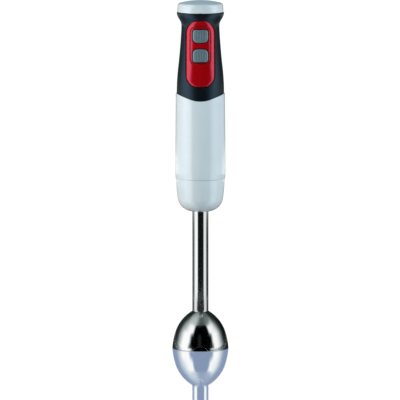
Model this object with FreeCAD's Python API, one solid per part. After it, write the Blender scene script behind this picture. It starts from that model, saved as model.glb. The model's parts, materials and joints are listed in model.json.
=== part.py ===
import FreeCAD, Part
import math
import os

# Hand blender with a detachable steel foot, in millimetres. The origin is the centre of the blade
# guard's rim, which the blender stands on. +Z runs up the drive axis, and the buttons face -Y.

# ---- Heights of the main pieces, from the rim up ----
guard_height = 43.2  # rim to the weld on the stem
stem_exposed = 111.5  # bare tube between the guard and the collar
collar_height = 36.4
seam_gap = 0.2  # shadow line between the collar and the body
body_height = 88.1  # white body, at the lowest point of its upper edge
grip_height = 97.1  # from there to the grip's rim
dial_gap = 0.5  # between the grip's rim and the dial

# ---- Clearances ----
seat_gap = 0.1  # between pieces that are fixed together
slide_gap = 0.3  # round what slides or is pulled out
running_gap = 0.05  # round a turning shaft
turning_gap = 0.4  # round larger turning pieces

# ---- Blade guard: a spun steel bell with three arched notches in its rim ----
guard_rim_r = 31.5
guard_side_r = 27.6
guard_side_z = 19.4
guard_side_bulge = 0.6
guard_cone_r = 17.3
guard_cone_z = 34.9
guard_shoulder_bulge = 1.3
guard_wall = 0.9
guard_neck_height = 1.2
notch_count = 3
notch_width = 17.9
notch_height = 5.6

# ---- Stem ----
stem_r = 9.0
stem_wall = 0.8
stem_in_collar = 28.0

# ---- Collar: the white bowl on top of the stem ----
collar_foot_r = 13.0
collar_cheek_step = 1.85  # of its cheek inside its top edge
collar_cheek_z = 14.5  # above its flat underside
collar_cheek_bulge = 2.9
collar_step = 0.35  # of its top edge inside the body's edge
collar_side_bulge = 0.33
collar_wall = 2.4
collar_boss_wall = 2.2
collar_floor = 5.0

# ---- Spigot on the collar, and the socket in the body that it pushes into ----
spigot_bore_r = 13.5
spigot_height = 19.6
spigot_flange = 6.0
spigot_floor = 4.0
key_count = 3
key_width = 5.0
key_depth = 1.3
key_height = 14.0
seal_section_r = 0.85
seal_stand = 12.5  # above the spigot's flange
socket_wall = 2.2
socket_plate = 3.0
socket_roof = 2.4
socket_headroom = 1.0
socket_air = 2.0  # between the socket and the body shell
dog_hole_r = 10.6

# ---- White body shell ----
body_low_r = 28.15  # the widest part of the body
body_chamfer = 0.55
body_chamfer_height = 5.8
body_taper = 0.75  # from there to the upper edge
body_wall = 2.2
edge_arc_r = 36.0  # the dip in the upper edge, seen from the front
edge_angle = 19.3
lap_depth = 6.8  # of the grip inside the shell, below the dip
lap_wall = 0.95  # of the shell outside the grip
vent_count = 5
vent_width = 17.0
vent_slot = 1.9
vent_pitch = 4.6
vent_round = 0.85
body_vent_stand = 34.0  # lowest slot above the body's edge

# ---- Grip ----
grip_swell_height = 5.2  # of the straight foot above the dip
grip_mid_r = 24.5
grip_mid_height = 38.3
grip_lower_bulge = 0.5
grip_waist_r = 21.1
grip_waist_drop = 15.5
grip_upper_bulge = 0.35
flare_low_step = 1.3  # outside the waist
flare_low_drop = 9.7
flare_low_bulge = 0.35
flare_high_step = 1.95  # inside the rim
flare_high_drop = 6.3
flare_high_bulge = 0.42
grip_rim_r = 26.35
grip_wall = 2.4
pointer_width = 2.6  # tick on the rim, in front of the dial
pointer_rise = 1.3
pointer_proud = 0.25
grip_vent_stand = 24.0  # lowest slot above the dip

# ---- Control panel, button surround and buttons ----
panel_width = 31.5
panel_height = 69.4  # without the bulges of its ends
panel_drop = 9.65  # its top below the grip's rim
panel_corner = 10.5
panel_bulge = 1.8
panel_proud = 0.4
panel_sink = 1.3
panel_gap = 0.35
surround_width = 23.0
surround_height = 40.8
surround_drop = 14.4
surround_corner = 5.0
surround_top_corner = 8.0
surround_recess = 0.25
button_width = 17.2
button_height = 13.1  # without the bulge of its bowed edge
upper_button_drop = 24.3  # its middle below the grip's rim
lower_button_drop = 47.0
button_bulge = 1.3
button_corner = 2.8
button_proud = 1.5
button_travel = 2.0
button_flange = 1.2
button_flange_thickness = 1.2
pusher_r = 5.4

# ---- Circuit board and what it carries ----
board_depth = 11.8  # its front face in front of the axis
board_thickness = 1.6
board_width = 26.0
board_low_drop = 74.0
board_high_drop = 11.5
board_post_r = 2.2
board_post_inset = 2.6
switch_side = 6.0
switch_height = 2.5
switch_plunger_r = 1.5
switch_plunger_height = 0.6
dome_r = 6.4
dome_wall = 0.6
heat_sink_width = 18.0
heat_sink_depth = 1.6  # of its base and fins
heat_sink_reach = 4.8  # of the fins
heat_sink_height = 22.0
heat_sink_rise = 6.0
capacitor_r = 4.5
capacitor_length = 9.0
choke_r = 5.0
choke_width = 4.5

# ---- Speed dial ----
dial_step = 0.6  # of its foot inside the grip's rim
dial_taper = 0.45
dial_wall_height = 10.0
dial_edge_round = 0.9
dial_wall = 2.2
dial_disc_step = 1.1  # inside the dial's shoulder
dial_disc_rise = 3.0
dial_disc_edge = 1.6
dial_floor = 1.8
dial_hub_r = 6.0
spindle_r = 3.0
spindle_flat = 2.3
spindle_depth = 4.0  # in the potentiometer
spindle_room = 0.6  # below its end
deck_thickness = 2.5
deck_drop = 5.0
pot_r = 8.0
pot_height = 6.5
pot_bush_r = 4.5

# ---- Cord inlet at the back of the grip ----
inlet_drop = 29.0  # below the grip's rim
inlet_bore_r = 3.5
inlet_neck_r = 5.0
inlet_flange_r = 6.6
inlet_flange = 1.6
clamp_width = 16.0
clamp_height = 5.0
clamp_depth = 4.0
clamp_gap = 0.4  # from the gland's inner rim

# ---- Motor ----
ring_height = 3.0  # rubber ring between the socket and the motor
ring_gap = 0.8  # between the ring and the body shell
bracket_thickness = 3.2
bracket_gap = 2.8  # between the brackets and the body shell
bracket_arm = 9.0
bearing_r = 8.0
bearing_width = 5.0
bearing_wall = 1.8
bearing_groove = 0.6
shaft_r = 3.0
fan_gap = 1.2  # between the fan and the through bolts
fan_hub_r = 6.5
fan_height = 7.5
fan_disc = 1.4
fan_blades = 9
fan_blade_thickness = 1.2
stack_height = 28.0
stator_step = 0.4  # inside the brackets' edge
stator_yoke = 3.6
pole_angle = 118.0
coil_angle = 146.0
coil_overhang = 6.5
coil_gap = 0.3  # from the yoke
pole_depth = 4.5  # from the yoke in to the bore
armature_gap = 0.4  # air between the stator and the armature
armature_slots = 12
slot_width = 2.6
armature_web = 4.5  # from the shaft out to the slots
slot_lip = 1.0  # closes each slot but for its mouth
winding_step = 1.3  # inside the armature
winding_height = 7.0
winding_slope = 2.0
commutator_step = 5.1  # inside the armature
commutator_length = 11.0
commutator_bars = 12
commutator_cut = 0.6
brush_width = 4.6
brush_height = 6.4
brush_length = 8.0
holder_wall = 1.2
holder_length = 11.0
bolt_r = 1.5
bolt_head_r = 2.8
bolt_head = 1.8
leaf_thickness = 0.4
leaf_width = 3.0
motor_air = 2.5  # free length between the rotor's pieces
shaft_seat = 2.5  # of the motor shaft in the dog

# ---- Coupling, shaft and blade ----
star_r = 7.0
star_root_r = 4.2
star_lobes = 6
star_height = 8.0
dog_r = 10.0
dog_web = 3.0
dog_stand = 2.0  # above the body's edge
drive_r = 2.5
bush_r = 5.0
upper_bush_length = 9.0
lower_bush_length = 14.0
carrier_r = 11.5
carrier_drop = 25.2  # its lower end below the guard's weld
carrier_in_stem = 14.0
seal_height = 3.0
washer_r = 4.6
washer_height = 1.0
blade_hub_r = 5.5
blade_thickness = 1.4
blade_reach = 22.5
blade_width = 11.0
blade_tip_width = 6.5
blade_lift = 3.4
blade_pitch = 14.0
nut_r = 4.0
nut_tip_r = 2.4
nut_height = 4.5
nut_dome = 1.8

# ---- Radii worked out from the body's, the grip's rim and the waist ----
body_edge_r = body_low_r - body_chamfer
body_top_r = body_low_r - body_taper
body_bore_r = body_top_r - body_wall
collar_top_r = body_edge_r - collar_step
collar_cheek_r = collar_top_r - collar_cheek_step
spigot_r = body_bore_r - socket_air - socket_wall - key_depth - slide_gap
socket_r = spigot_r + slide_gap
grip_base_r = body_top_r - lap_wall
flare_low_r = grip_waist_r + flare_low_step
flare_high_r = grip_rim_r - flare_high_step
dial_foot_r = grip_rim_r - dial_step
dial_shoulder_r = dial_foot_r - dial_taper
dial_disc_r = dial_shoulder_r - dial_disc_step
ring_r = body_bore_r - ring_gap
bracket_r = body_bore_r - bracket_gap
stator_r = bracket_r - stator_step
fan_r = stator_r - stator_yoke / 2 - bolt_r - fan_gap
stator_bore_r = stator_r - stator_yoke - pole_depth
armature_r = stator_bore_r - armature_gap
winding_r = armature_r - winding_step
commutator_r = armature_r - commutator_step

# ---- Levels worked out from the heights ----
collar_z = guard_height + stem_exposed
collar_top_z = collar_z + collar_height
body_z = collar_top_z + seam_gap
dip_z = body_z + body_height
lap_z = dip_z - lap_depth
grip_top_z = dip_z + grip_height
dial_z = grip_top_z + dial_gap
spigot_top_z = body_z + spigot_height
socket_roof_z = spigot_top_z + socket_headroom
motor_z = socket_roof_z + socket_roof + ring_height
lower_bracket_z = motor_z
fan_z = lower_bracket_z + bracket_thickness + bearing_width / 2
stack_z = fan_z + fan_height + motor_air + coil_overhang
stack_top_z = stack_z + stack_height
commutator_z = stack_top_z + winding_height + motor_air
upper_bracket_z = commutator_z + commutator_length + motor_air
shaft_top_z = upper_bracket_z + bracket_thickness + bearing_width
brush_z = commutator_z + commutator_length / 2
dog_z = body_z + dog_stand
star_z = dog_z + seam_gap
carrier_z = guard_height - carrier_drop
seal_z = carrier_z
lower_bush_z = seal_z + seal_height
washer_z = seal_z - washer_height - seam_gap
blade_z = washer_z - blade_thickness
panel_z = grip_top_z - panel_drop - panel_height / 2
surround_z = grip_top_z - surround_drop - surround_height / 2
upper_button_z = grip_top_z - upper_button_drop
lower_button_z = grip_top_z - lower_button_drop
board_low_z = grip_top_z - board_low_drop
board_high_z = grip_top_z - board_high_drop
board_back = board_depth - board_thickness
pusher_depth = board_depth + switch_height + switch_plunger_height + button_travel + seat_gap
deck_z = grip_top_z - deck_drop
deck_top_z = deck_z + deck_thickness
inlet_z = grip_top_z - inlet_drop

AXIS = FreeCAD.Vector(0, 0, 1)
ORIGIN = FreeCAD.Vector(0, 0, 0)
FRONT = FreeCAD.Vector(0, -1, 0)
MARGIN = 1.0  # how far a cutting solid runs past what it cuts
FAR = 60.0  # larger than any radius of the blender
TINY = 0.001  # below this two lengths are the same


# ---- Small tools for outlines and solids ----
def point(r, z):
    """Point of a half section, at radius r and height z."""
    return FreeCAD.Vector(r, 0, z)


def bowed(start, end, bulge):
    """Edge between two points of a half section whose middle stands outwards by bulge."""
    if not bulge:
        return Part.makeLine(start, end)
    run = end - start
    outward = FreeCAD.Vector(run.z, 0, -run.x).normalize()
    return Part.Arc(start, (start + end) * 0.5 + outward * bulge, end).toShape()


def turned(*corners):
    """Solid of revolution whose half section is a polygon of (r, z) corners."""
    points = [point(*corner) for corner in corners]
    section = Part.Face(Part.makePolygon(points + points[:1]))
    return section.revolve(ORIGIN, AXIS, 360)


def outward_at(knots, index):
    """Unit normal to an outline at a knot, stretched so that both runs beside it move by one."""
    runs = []
    for first in (index - 1, index):
        if 0 <= first < len(knots) - 1:
            (r0, z0, _), (r1, z1, _) = knots[first], knots[first + 1]
            length = math.hypot(r1 - r0, z1 - z0)
            runs.append(((z1 - z0) / length, (r0 - r1) / length))
    if len(runs) == 1:
        return 1.0 / runs[0][0], 0.0
    r, z = runs[0][0] + runs[1][0], runs[0][1] + runs[1][1]
    stretch = 2.0 / (r * r + z * z)
    return r * stretch, z * stretch


def moved(knots, distance, plain=False):
    """Outline at a distance outside the given one. plain makes every run straight."""
    result = []
    for index, (r, z, bulge) in enumerate(knots):
        out_r, out_z = outward_at(knots, index)
        result.append((r + out_r * distance, z + out_z * distance, 0.0 if plain else bulge))
    return result


def filled(knots):
    """Solid of revolution inside an outline of (r, z, bulge of the run to here) knots."""
    points = [point(r, z) for r, z, _ in knots]
    edges = [bowed(here, there, knot[2]) for here, there, knot in zip(points, points[1:], knots[1:])]
    top, bottom = point(0, points[-1].z), point(0, points[0].z)
    edges += Part.makePolygon([points[-1], top, bottom, points[0]]).Edges
    return Part.Face(Part.Wire(edges)).revolve(ORIGIN, AXIS, 360)


def skin(knots, outward, inward, plain=True):
    """Layer that follows an outline, from outward outside it to inward inside it."""
    return filled(moved(knots, outward)).cut(filled(moved(knots, -inward, plain)))


def tube(inner, outer, low, high):
    """Ring or, with no inner radius, disc about the drive axis."""
    solid = Part.makeCylinder(outer, high - low, FreeCAD.Vector(0, 0, low), AXIS)
    if inner:
        bore = Part.makeCylinder(inner, high - low + 2 * MARGIN, FreeCAD.Vector(0, 0, low - MARGIN), AXIS)
        solid = solid.cut(bore)
    return solid


def sector(inner, outer, low, high, middle, width):
    """Part of a ring, width degrees wide about the direction middle."""
    section = Part.Face(Part.makePolygon([
        point(inner, low), point(outer, low), point(outer, high), point(inner, high), point(inner, low)]))
    section.rotate(ORIGIN, AXIS, middle - width / 2)
    return section.revolve(ORIGIN, AXIS, width)


def block(width, depth, height, x, y, z):
    """Box centred on x, y and z."""
    corner = FreeCAD.Vector(x - width / 2, y - depth / 2, z - height / 2)
    return Part.makeBox(width, depth, height, corner)


def rod(radius, start, end):
    """Cylinder between two points."""
    run = end - start
    return Part.makeCylinder(radius, run.Length, start, run)


def around(solid, count, start=0.0):
    """Copies of a solid at equal angles about the drive axis."""
    copies = []
    for index in range(count):
        copy = solid.copy()
        copy.rotate(ORIGIN, AXIS, start + index * 360.0 / count)
        copies.append(copy)
    return copies


def fused(first, *others):
    """One solid from several that meet."""
    return first.multiFuse(list(others)).removeSplitter()


def filleted(solid, radius, chosen):
    """Rounds the edges that a test picks."""
    return solid.makeFillet(radius, [edge for edge in solid.Edges if chosen(edge)])


def runs_along_y(edge):
    """True for a straight edge parallel to Y."""
    ends = [vertex.Point for vertex in edge.Vertexes]
    if len(ends) < 2:
        return False
    run = ends[1] - ends[0]
    return run.Length - abs(run.y) < TINY and run.Length > MARGIN


def pad(width, height, z, low_corner, high_corner, low_bulge=0.0, high_bulge=0.0, grow=0.0):
    """Upright rounded tablet reaching from the axis out to the front, to cut or trim what is on the grip.

    grow makes it larger all round.
    """
    half = width / 2 + grow
    low = z - height / 2 - grow
    high = z + height / 2 + grow
    left_low, right_low = point(-half, low), point(half, low)
    left_high, right_high = point(-half, high), point(half, high)
    edges = [
        bowed(right_low, right_high, 0.0),
        bowed(right_high, left_high, high_bulge),
        bowed(left_high, left_low, 0.0),
        bowed(left_low, right_low, low_bulge),
    ]
    solid = Part.Face(Part.Wire(edges)).extrude(FRONT * FAR)
    solid = filleted(solid, low_corner + grow, lambda edge: runs_along_y(edge) and edge.CenterOfMass.z < z)
    return filleted(solid, high_corner + grow, lambda edge: runs_along_y(edge) and edge.CenterOfMass.z > z)


# ---- Outlines of the outer surfaces: knots of radius, height and the bulge of the run below ----
GUARD = [
    (guard_rim_r, 0.0, 0.0),
    (guard_side_r, guard_side_z, guard_side_bulge),
    (guard_cone_r, guard_cone_z, guard_shoulder_bulge),
    (stem_r, guard_height - guard_neck_height, 0.0),
    (stem_r, guard_height, 0.0),
]
COLLAR = [
    (collar_foot_r, collar_z, 0.0),
    (collar_cheek_r, collar_z + collar_cheek_z, collar_cheek_bulge),
    (collar_top_r, collar_top_z, collar_side_bulge),
]
BODY = [
    (body_edge_r, body_z, 0.0),
    (body_low_r, body_z + body_chamfer_height, 0.0),
    (body_top_r, dip_z, 0.0),
    (body_top_r, dip_z + body_low_r, 0.0),
]
GRIP = [
    (grip_base_r, lap_z, 0.0),
    (grip_base_r, dip_z + grip_swell_height, 0.0),
    (grip_mid_r, dip_z + grip_mid_height, grip_lower_bulge),
    (grip_waist_r, grip_top_z - grip_waist_drop, -grip_upper_bulge),
    (flare_low_r, grip_top_z - flare_low_drop, -flare_low_bulge),
    (flare_high_r, grip_top_z - flare_high_drop, 0.0),
    (grip_rim_r, grip_top_z, flare_high_bulge),
]


def grip_radius(z):
    """Radius of the grip's surface at a height, leaving its bulges out."""
    for (r0, z0, _), (r1, z1, _) in zip(GRIP, GRIP[1:]):
        if z0 <= z <= z1:
            return r0 + (r1 - r0) * (z - z0) / (z1 - z0)
    return grip_rim_r


# ---- Foot: guard, stem, collar and spigot ----
def blade_guard():
    """Spun bell with an arched notch at the front and two more round the back."""
    bell = skin(GUARD, 0.0, guard_wall)
    return bell.cut(Part.makeCompound(notches()))


def notches():
    """Arched cuts through the rim, the first one at the front."""
    half = notch_width / 2
    arch = Part.Arc(point(half, 0), point(0, notch_height), point(-half, 0)).toShape()
    low_left, low_right = point(-half, -MARGIN), point(half, -MARGIN)
    sides = Part.makePolygon([point(-half, 0), low_left, low_right, point(half, 0)])
    cutter = Part.Face(Part.Wire([arch] + sides.Edges)).extrude(FRONT * FAR)
    return around(cutter, notch_count)


def stem_tube():
    """Polished tube from the guard's weld up into the collar."""
    return tube(stem_r - stem_wall, stem_r, guard_height, collar_z + stem_in_collar)


def foot_collar():
    """White bowl with a boss that holds the stem."""
    floor_z = collar_z + collar_floor
    cheek_z = collar_z + collar_cheek_z
    hollow = turned(
        (0, floor_z),
        (collar_foot_r + collar_boss_wall, floor_z),
        (collar_cheek_r - collar_wall, cheek_z),
        (collar_top_r - collar_wall, collar_top_z - spigot_flange),
        (collar_top_r - collar_wall, collar_top_z),
        (0, collar_top_z),
    )
    boss = tube(0, stem_r + collar_boss_wall, collar_z + collar_floor / 2, collar_z + stem_in_collar)
    shell = fused(filled(COLLAR).cut(hollow), boss)
    return shell.cut(tube(0, stem_r, collar_z - MARGIN, collar_top_z))


def spigot_keys(width, proud, top_z):
    """Upright keys that stop the foot from turning in the body."""
    reach = spigot_r + proud
    bar = block(width, reach, top_z - body_z, 0, reach / 2, (top_z + body_z) / 2)
    return around(bar.common(tube(spigot_bore_r + MARGIN, reach, body_z, top_z)), key_count, 180.0)


def foot_spigot():
    """Cup that plugs the collar and pushes into the body, with keys and a seal groove."""
    flange_r = collar_top_r - collar_wall - seat_gap
    flange_z = body_z - spigot_flange
    floor_z = collar_z + stem_in_collar
    cup = turned(
        (0, floor_z),
        (stem_r + collar_boss_wall, floor_z),
        (stem_r + collar_boss_wall, flange_z),
        (flange_r - collar_wall, flange_z),
        (flange_r - collar_wall, body_z - spigot_flange / 2),
        (flange_r, body_z - spigot_flange / 2),
        (flange_r, body_z),
        (spigot_r, body_z),
        (spigot_r, spigot_top_z),
        (spigot_bore_r, spigot_top_z),
        (spigot_bore_r, flange_z + spigot_floor),
        (0, flange_z + spigot_floor),
    )
    cup = fused(cup, *spigot_keys(key_width, key_depth, body_z + key_height))
    seal_z0 = body_z + seal_stand + seal_section_r
    groove = tube(
        spigot_r - seal_section_r, spigot_r + FAR, seal_z0 - seal_section_r, seal_z0 + seal_section_r)
    cup = cup.cut(groove)
    return cup.cut(tube(0, bush_r, floor_z - MARGIN, spigot_top_z))


def foot_seal_ring():
    """Rubber ring in the spigot's groove that grips the socket."""
    middle_z = body_z + seal_stand + seal_section_r
    inner = spigot_r - seal_section_r
    outer = socket_r - running_gap
    half = seal_section_r - seat_gap
    return turned(
        (inner, middle_z - half),
        (outer - half, middle_z - half),
        (outer, middle_z - half / 2),
        (outer, middle_z + half / 2),
        (outer - half, middle_z + half),
        (inner, middle_z + half),
    )


def bearing_carrier():
    """Plug under the guard's neck that holds the lower bush and the seal."""
    inner_r = stem_r - stem_wall - seat_gap
    cone_z = guard_height - guard_neck_height - (carrier_r - stem_r) * cone_rise() - guard_wall * 2
    plug = turned(
        (0, carrier_z),
        (carrier_r - guard_wall, carrier_z),
        (carrier_r, carrier_z + guard_wall),
        (carrier_r, cone_z),
        (inner_r, cone_z + (carrier_r - inner_r) * cone_rise()),
        (inner_r, guard_height + carrier_in_stem),
        (0, guard_height + carrier_in_stem),
    )
    plug = plug.cut(tube(0, drive_r + turning_gap, carrier_z, guard_height + carrier_in_stem + MARGIN))
    return plug.cut(tube(0, bush_r, carrier_z - MARGIN, lower_bush_z + lower_bush_length))


def cone_rise():
    """Height that the guard's cone gains per millimetre of radius."""
    return (guard_height - guard_neck_height - guard_cone_z) / (guard_cone_r - stem_r)


def lower_bush():
    """Sintered bush in the carrier."""
    return tube(drive_r + running_gap, bush_r, lower_bush_z, lower_bush_z + lower_bush_length)


def upper_bush():
    """Sintered bush in the spigot's floor."""
    low = collar_z + stem_in_collar
    return tube(drive_r + running_gap, bush_r, low, low + upper_bush_length)


def shaft_seal():
    """Lip seal below the lower bush."""
    low_r = drive_r + running_gap * 2
    return turned(
        (low_r, seal_z),
        (bush_r, seal_z),
        (bush_r, seal_z + seal_height),
        (low_r + MARGIN, seal_z + seal_height),
        (low_r + MARGIN, seal_z + MARGIN),
        (low_r, seal_z + MARGIN / 2),
    )


# ---- Blade shaft ----
def drive_shaft():
    """Rod from the blade up to the coupling star."""
    return tube(0, drive_r, blade_z - nut_height / 2, star_z + star_height / 2)


def star_face(grow, z):
    """Face of the lobed coupling: arcs between a root and a tip radius."""
    corners = []
    step = math.pi / star_lobes
    for index in range(2 * star_lobes):
        radius = (star_r if index % 2 == 0 else star_root_r) + grow
        angle = index * step
        corners.append(FreeCAD.Vector(radius * math.cos(angle), radius * math.sin(angle), z))
    return Part.Face(Part.makePolygon(corners + corners[:1]))


def coupling_star():
    """Lobed driver on the top of the drive shaft."""
    star = star_face(0.0, star_z).extrude(AXIS * star_height)
    return star.cut(tube(0, drive_r, star_z - MARGIN, star_z + star_height / 2))


def blade_section(reach, width, thickness, pitch, lift):
    """Upright rectangle across a wing, pitched about the wing's length."""
    corners = [(-width / 2, 0.0), (width / 2, 0.0), (width / 2, thickness), (-width / 2, thickness)]
    points = [FreeCAD.Vector(0, y, z) for y, z in corners]
    wire = Part.makePolygon(points + points[:1])
    wire.rotate(ORIGIN, FreeCAD.Vector(1, 0, 0), pitch)
    wire.translate(FreeCAD.Vector(reach, 0, blade_z + lift))
    return wire


def blade_wing(lift):
    """One cutting wing: flat at the hub, then bent and twisted towards its sharpened tip."""
    middle = (blade_hub_r + blade_reach) / 2
    waist = (blade_width + blade_tip_width) / 2
    sections = [
        blade_section(0.0, blade_width, blade_thickness, 0.0, 0.0),
        blade_section(blade_hub_r, blade_width, blade_thickness, 0.0, 0.0),
        blade_section(middle, waist, blade_thickness, blade_pitch / 2, lift / 2),
        blade_section(blade_reach, blade_tip_width, blade_thickness / 2, blade_pitch, lift),
    ]
    return Part.makeLoft(sections, True, True)


def blade():
    """Two-winged blade: one wing bent up, the other down."""
    other = blade_wing(-blade_lift)
    other.rotate(ORIGIN, AXIS, 180)
    hub = tube(0, blade_hub_r, blade_z, blade_z + blade_thickness)
    solid = fused(hub, blade_wing(blade_lift), other)
    return solid.cut(tube(0, drive_r, blade_z - blade_lift * 2, blade_z + blade_lift * 2))


def blade_nut():
    """Domed nut that holds the blade."""
    low = blade_z - nut_height
    dome = turned((0, low), (nut_tip_r, low), (nut_r, low + nut_dome), (nut_r, blade_z), (0, blade_z))
    return dome.cut(tube(0, drive_r, blade_z - nut_height / 2, blade_z + MARGIN))


def thrust_washer():
    """Washer between the blade and the seal."""
    return tube(drive_r, washer_r, washer_z, washer_z + washer_height)


# ---- Body: socket, shell and grip ----
def foot_socket():
    """Cup in the bottom of the body that takes the spigot."""
    outer_r = socket_r + socket_wall + key_depth
    plate = tube(0, body_bore_r - seat_gap, body_z, body_z + socket_plate)
    sleeve = tube(0, outer_r, body_z, socket_roof_z + socket_roof)
    cup = fused(plate, sleeve)
    cup = cup.cut(tube(0, socket_r, body_z - MARGIN, socket_roof_z))
    cup = cup.cut(tube(0, dog_hole_r, socket_roof_z - MARGIN, socket_roof_z + socket_roof + MARGIN))
    top_z = body_z + key_height + slide_gap
    keyways = spigot_keys(key_width + 2 * slide_gap, key_depth + slide_gap, top_z)
    return cup.cut(Part.makeCompound(keyways))


def above_edge(grow):
    """Everything above the body's curved upper edge: a shallow vee with a round bottom."""
    angle = math.radians(edge_angle)
    turn_x = edge_arc_r * math.sin(angle)
    turn_z = dip_z + edge_arc_r * (1 - math.cos(angle))
    side_z = turn_z + (FAR - turn_x) * math.tan(angle)
    low = dip_z + grow
    arc = Part.Arc(point(-turn_x, turn_z + grow), point(0, low), point(turn_x, turn_z + grow)).toShape()
    rest = Part.makePolygon([
        point(turn_x, turn_z + grow),
        point(FAR, side_z + grow),
        point(FAR, grip_top_z),
        point(-FAR, grip_top_z),
        point(-FAR, side_z + grow),
        point(-turn_x, turn_z + grow),
    ])
    face = Part.Face(Part.Wire([arc] + rest.Edges))
    face.translate(FRONT * -FAR)
    return face.extrude(FRONT * 2 * FAR)


def vents(low_z):
    """Row of level slots through the back of a wall."""
    slots = []
    for index in range(vent_count):
        z = low_z + index * vent_pitch
        slot = block(vent_width, FAR, vent_slot, 0, FAR / 2, z)
        slots.append(filleted(slot, vent_round, runs_along_y))
    return slots


def body_shell():
    """White sleeve round the motor, with a rebate for the grip and vents at the back."""
    top_z = dip_z + body_low_r + MARGIN
    shell = filled(BODY)
    shell = shell.cut(tube(0, body_bore_r, body_z - MARGIN, top_z))
    shell = shell.cut(tube(0, grip_base_r + seat_gap, lap_z, top_z))
    shell = shell.cut(above_edge(0.0))
    return shell.cut(Part.makeCompound(vents(body_z + body_vent_stand)))


def grip_case():
    """Both halves of the grip in one, before it is split."""
    case = skin(GRIP, 0.0, grip_wall)
    ring = tube(dial_foot_r + slide_gap, grip_rim_r + pointer_proud,
                grip_top_z - pointer_rise, grip_top_z + pointer_rise)
    pointer = ring.common(block(pointer_width, FAR, 2 * FAR, 0, -FAR / 2, grip_top_z))
    return fused(case, pointer)


def board_posts():
    """Four posts inside the front of the grip that the circuit board is screwed to."""
    posts = []
    for x in (-1, 1):
        for z in (board_low_z + board_post_inset, board_high_z - board_post_inset):
            side = x * (board_width / 2 - board_post_inset)
            start = FreeCAD.Vector(side, -board_depth, z)
            posts.append(rod(board_post_r, start, start + FRONT * FAR))
    inside = filled(moved(GRIP, -(panel_sink + grip_wall) / 2, True))
    return [post.common(inside) for post in posts]


def button_pads(grow):
    """Outlines of the two buttons: their facing edges are bowed towards each other."""
    upper = pad(button_width, button_height, upper_button_z, button_corner, button_corner,
                button_bulge, 0.0, grow)
    lower = pad(button_width, button_height, lower_button_z, button_corner, button_corner,
                0.0, button_bulge, grow)
    return upper, lower


def panel_pad(grow):
    """Outline of the red panel."""
    return pad(panel_width, panel_height, panel_z, panel_corner, panel_corner,
               panel_bulge, panel_bulge, grow)


def surround_pad(grow):
    """Outline of the surround that the buttons stand in."""
    return pad(surround_width, surround_height, surround_z, surround_corner, surround_top_corner,
               0.0, 0.0, grow)


def half(solid, side):
    """Half of a solid: side -1 is the front, 1 is the back."""
    height = 2 * (grip_top_z + FAR)
    return solid.common(block(2 * FAR, FAR, height, 0, side * FAR / 2, 0))


def grip_front():
    """Front half of the grip, with the panel's pocket, button windows and board posts."""
    front = half(grip_case(), -1)
    pocket = panel_pad(panel_gap).common(skin(GRIP, MARGIN, panel_sink, False))
    windows = Part.makeCompound(list(button_pads(panel_gap)))
    front = front.cut(pocket).cut(windows)
    return fused(front, *board_posts())


def grip_rear():
    """Back half of the grip, with vents and the cord inlet's hole."""
    rear = half(grip_case(), 1)
    rear = rear.cut(Part.makeCompound(vents(dip_z + grip_vent_stand)))
    start = FreeCAD.Vector(0, 0, inlet_z)
    return rear.cut(rod(inlet_neck_r, start, start - FRONT * FAR))


def control_panel():
    """Glossy panel that follows the grip, with an opening for the surround."""
    panel = panel_pad(0.0).common(skin(GRIP, panel_proud, panel_sink, False))
    return panel.cut(surround_pad(seat_gap))


def button_surround():
    """Inlay in the panel with a window for each button."""
    inlay = surround_pad(0.0).common(skin(GRIP, panel_proud - surround_recess, panel_sink, False))
    return inlay.cut(Part.makeCompound(list(button_pads(panel_gap))))


def button(cap_pad, flange_pad, z):
    """Button: a cap that follows the grip, a flange behind the wall and a pusher."""
    back = grip_wall + slide_gap
    middle = back + button_flange_thickness / 2
    cap = cap_pad.common(skin(GRIP, button_proud, middle))
    flange = flange_pad.common(skin(GRIP, -back, back + button_flange_thickness))
    inside = filled(moved(GRIP, -middle, True))
    start = FreeCAD.Vector(0, -pusher_depth, z)
    flange = flange.cut(rod(dome_r + slide_gap, start, start - FRONT * pusher_depth))
    pusher = rod(pusher_r, start, start + FRONT * FAR).common(inside)
    return fused(cap, flange, pusher)


def speed_button():
    """Upper button."""
    return button(button_pads(0.0)[0], button_pads(button_flange)[0], upper_button_z)


def turbo_button():
    """Lower button."""
    return button(button_pads(0.0)[1], button_pads(button_flange)[1], lower_button_z)


# ---- Electronics ----
def circuit_board():
    """Board behind the buttons."""
    height = board_high_z - board_low_z
    middle_z = (board_high_z + board_low_z) / 2
    board = block(board_width, board_thickness, height, 0, -(board_depth + board_back) / 2, middle_z)
    return filleted(board, board_post_inset / 2, runs_along_y)


def microswitches():
    """Two tact switches on the front of the board."""
    parts = []
    for z in (upper_button_z, lower_button_z):
        case = block(switch_side, switch_height, switch_side, 0, -board_depth - switch_height / 2, z)
        start = FreeCAD.Vector(0, -board_depth - switch_height, z)
        parts.append(fused(case, rod(switch_plunger_r, start, start + FRONT * switch_plunger_height)))
    return Part.makeCompound(parts)


def switch_dome(z):
    """Rubber dome between the board and a pusher."""
    height = pusher_depth - board_depth
    start = FreeCAD.Vector(0, -board_depth, z)
    outer = Part.makeCone(dome_r, pusher_r, height, start, FRONT)
    inner = Part.makeCone(dome_r - dome_wall, pusher_r - dome_wall, height, start, FRONT)
    return outer.cut(inner)


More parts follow.
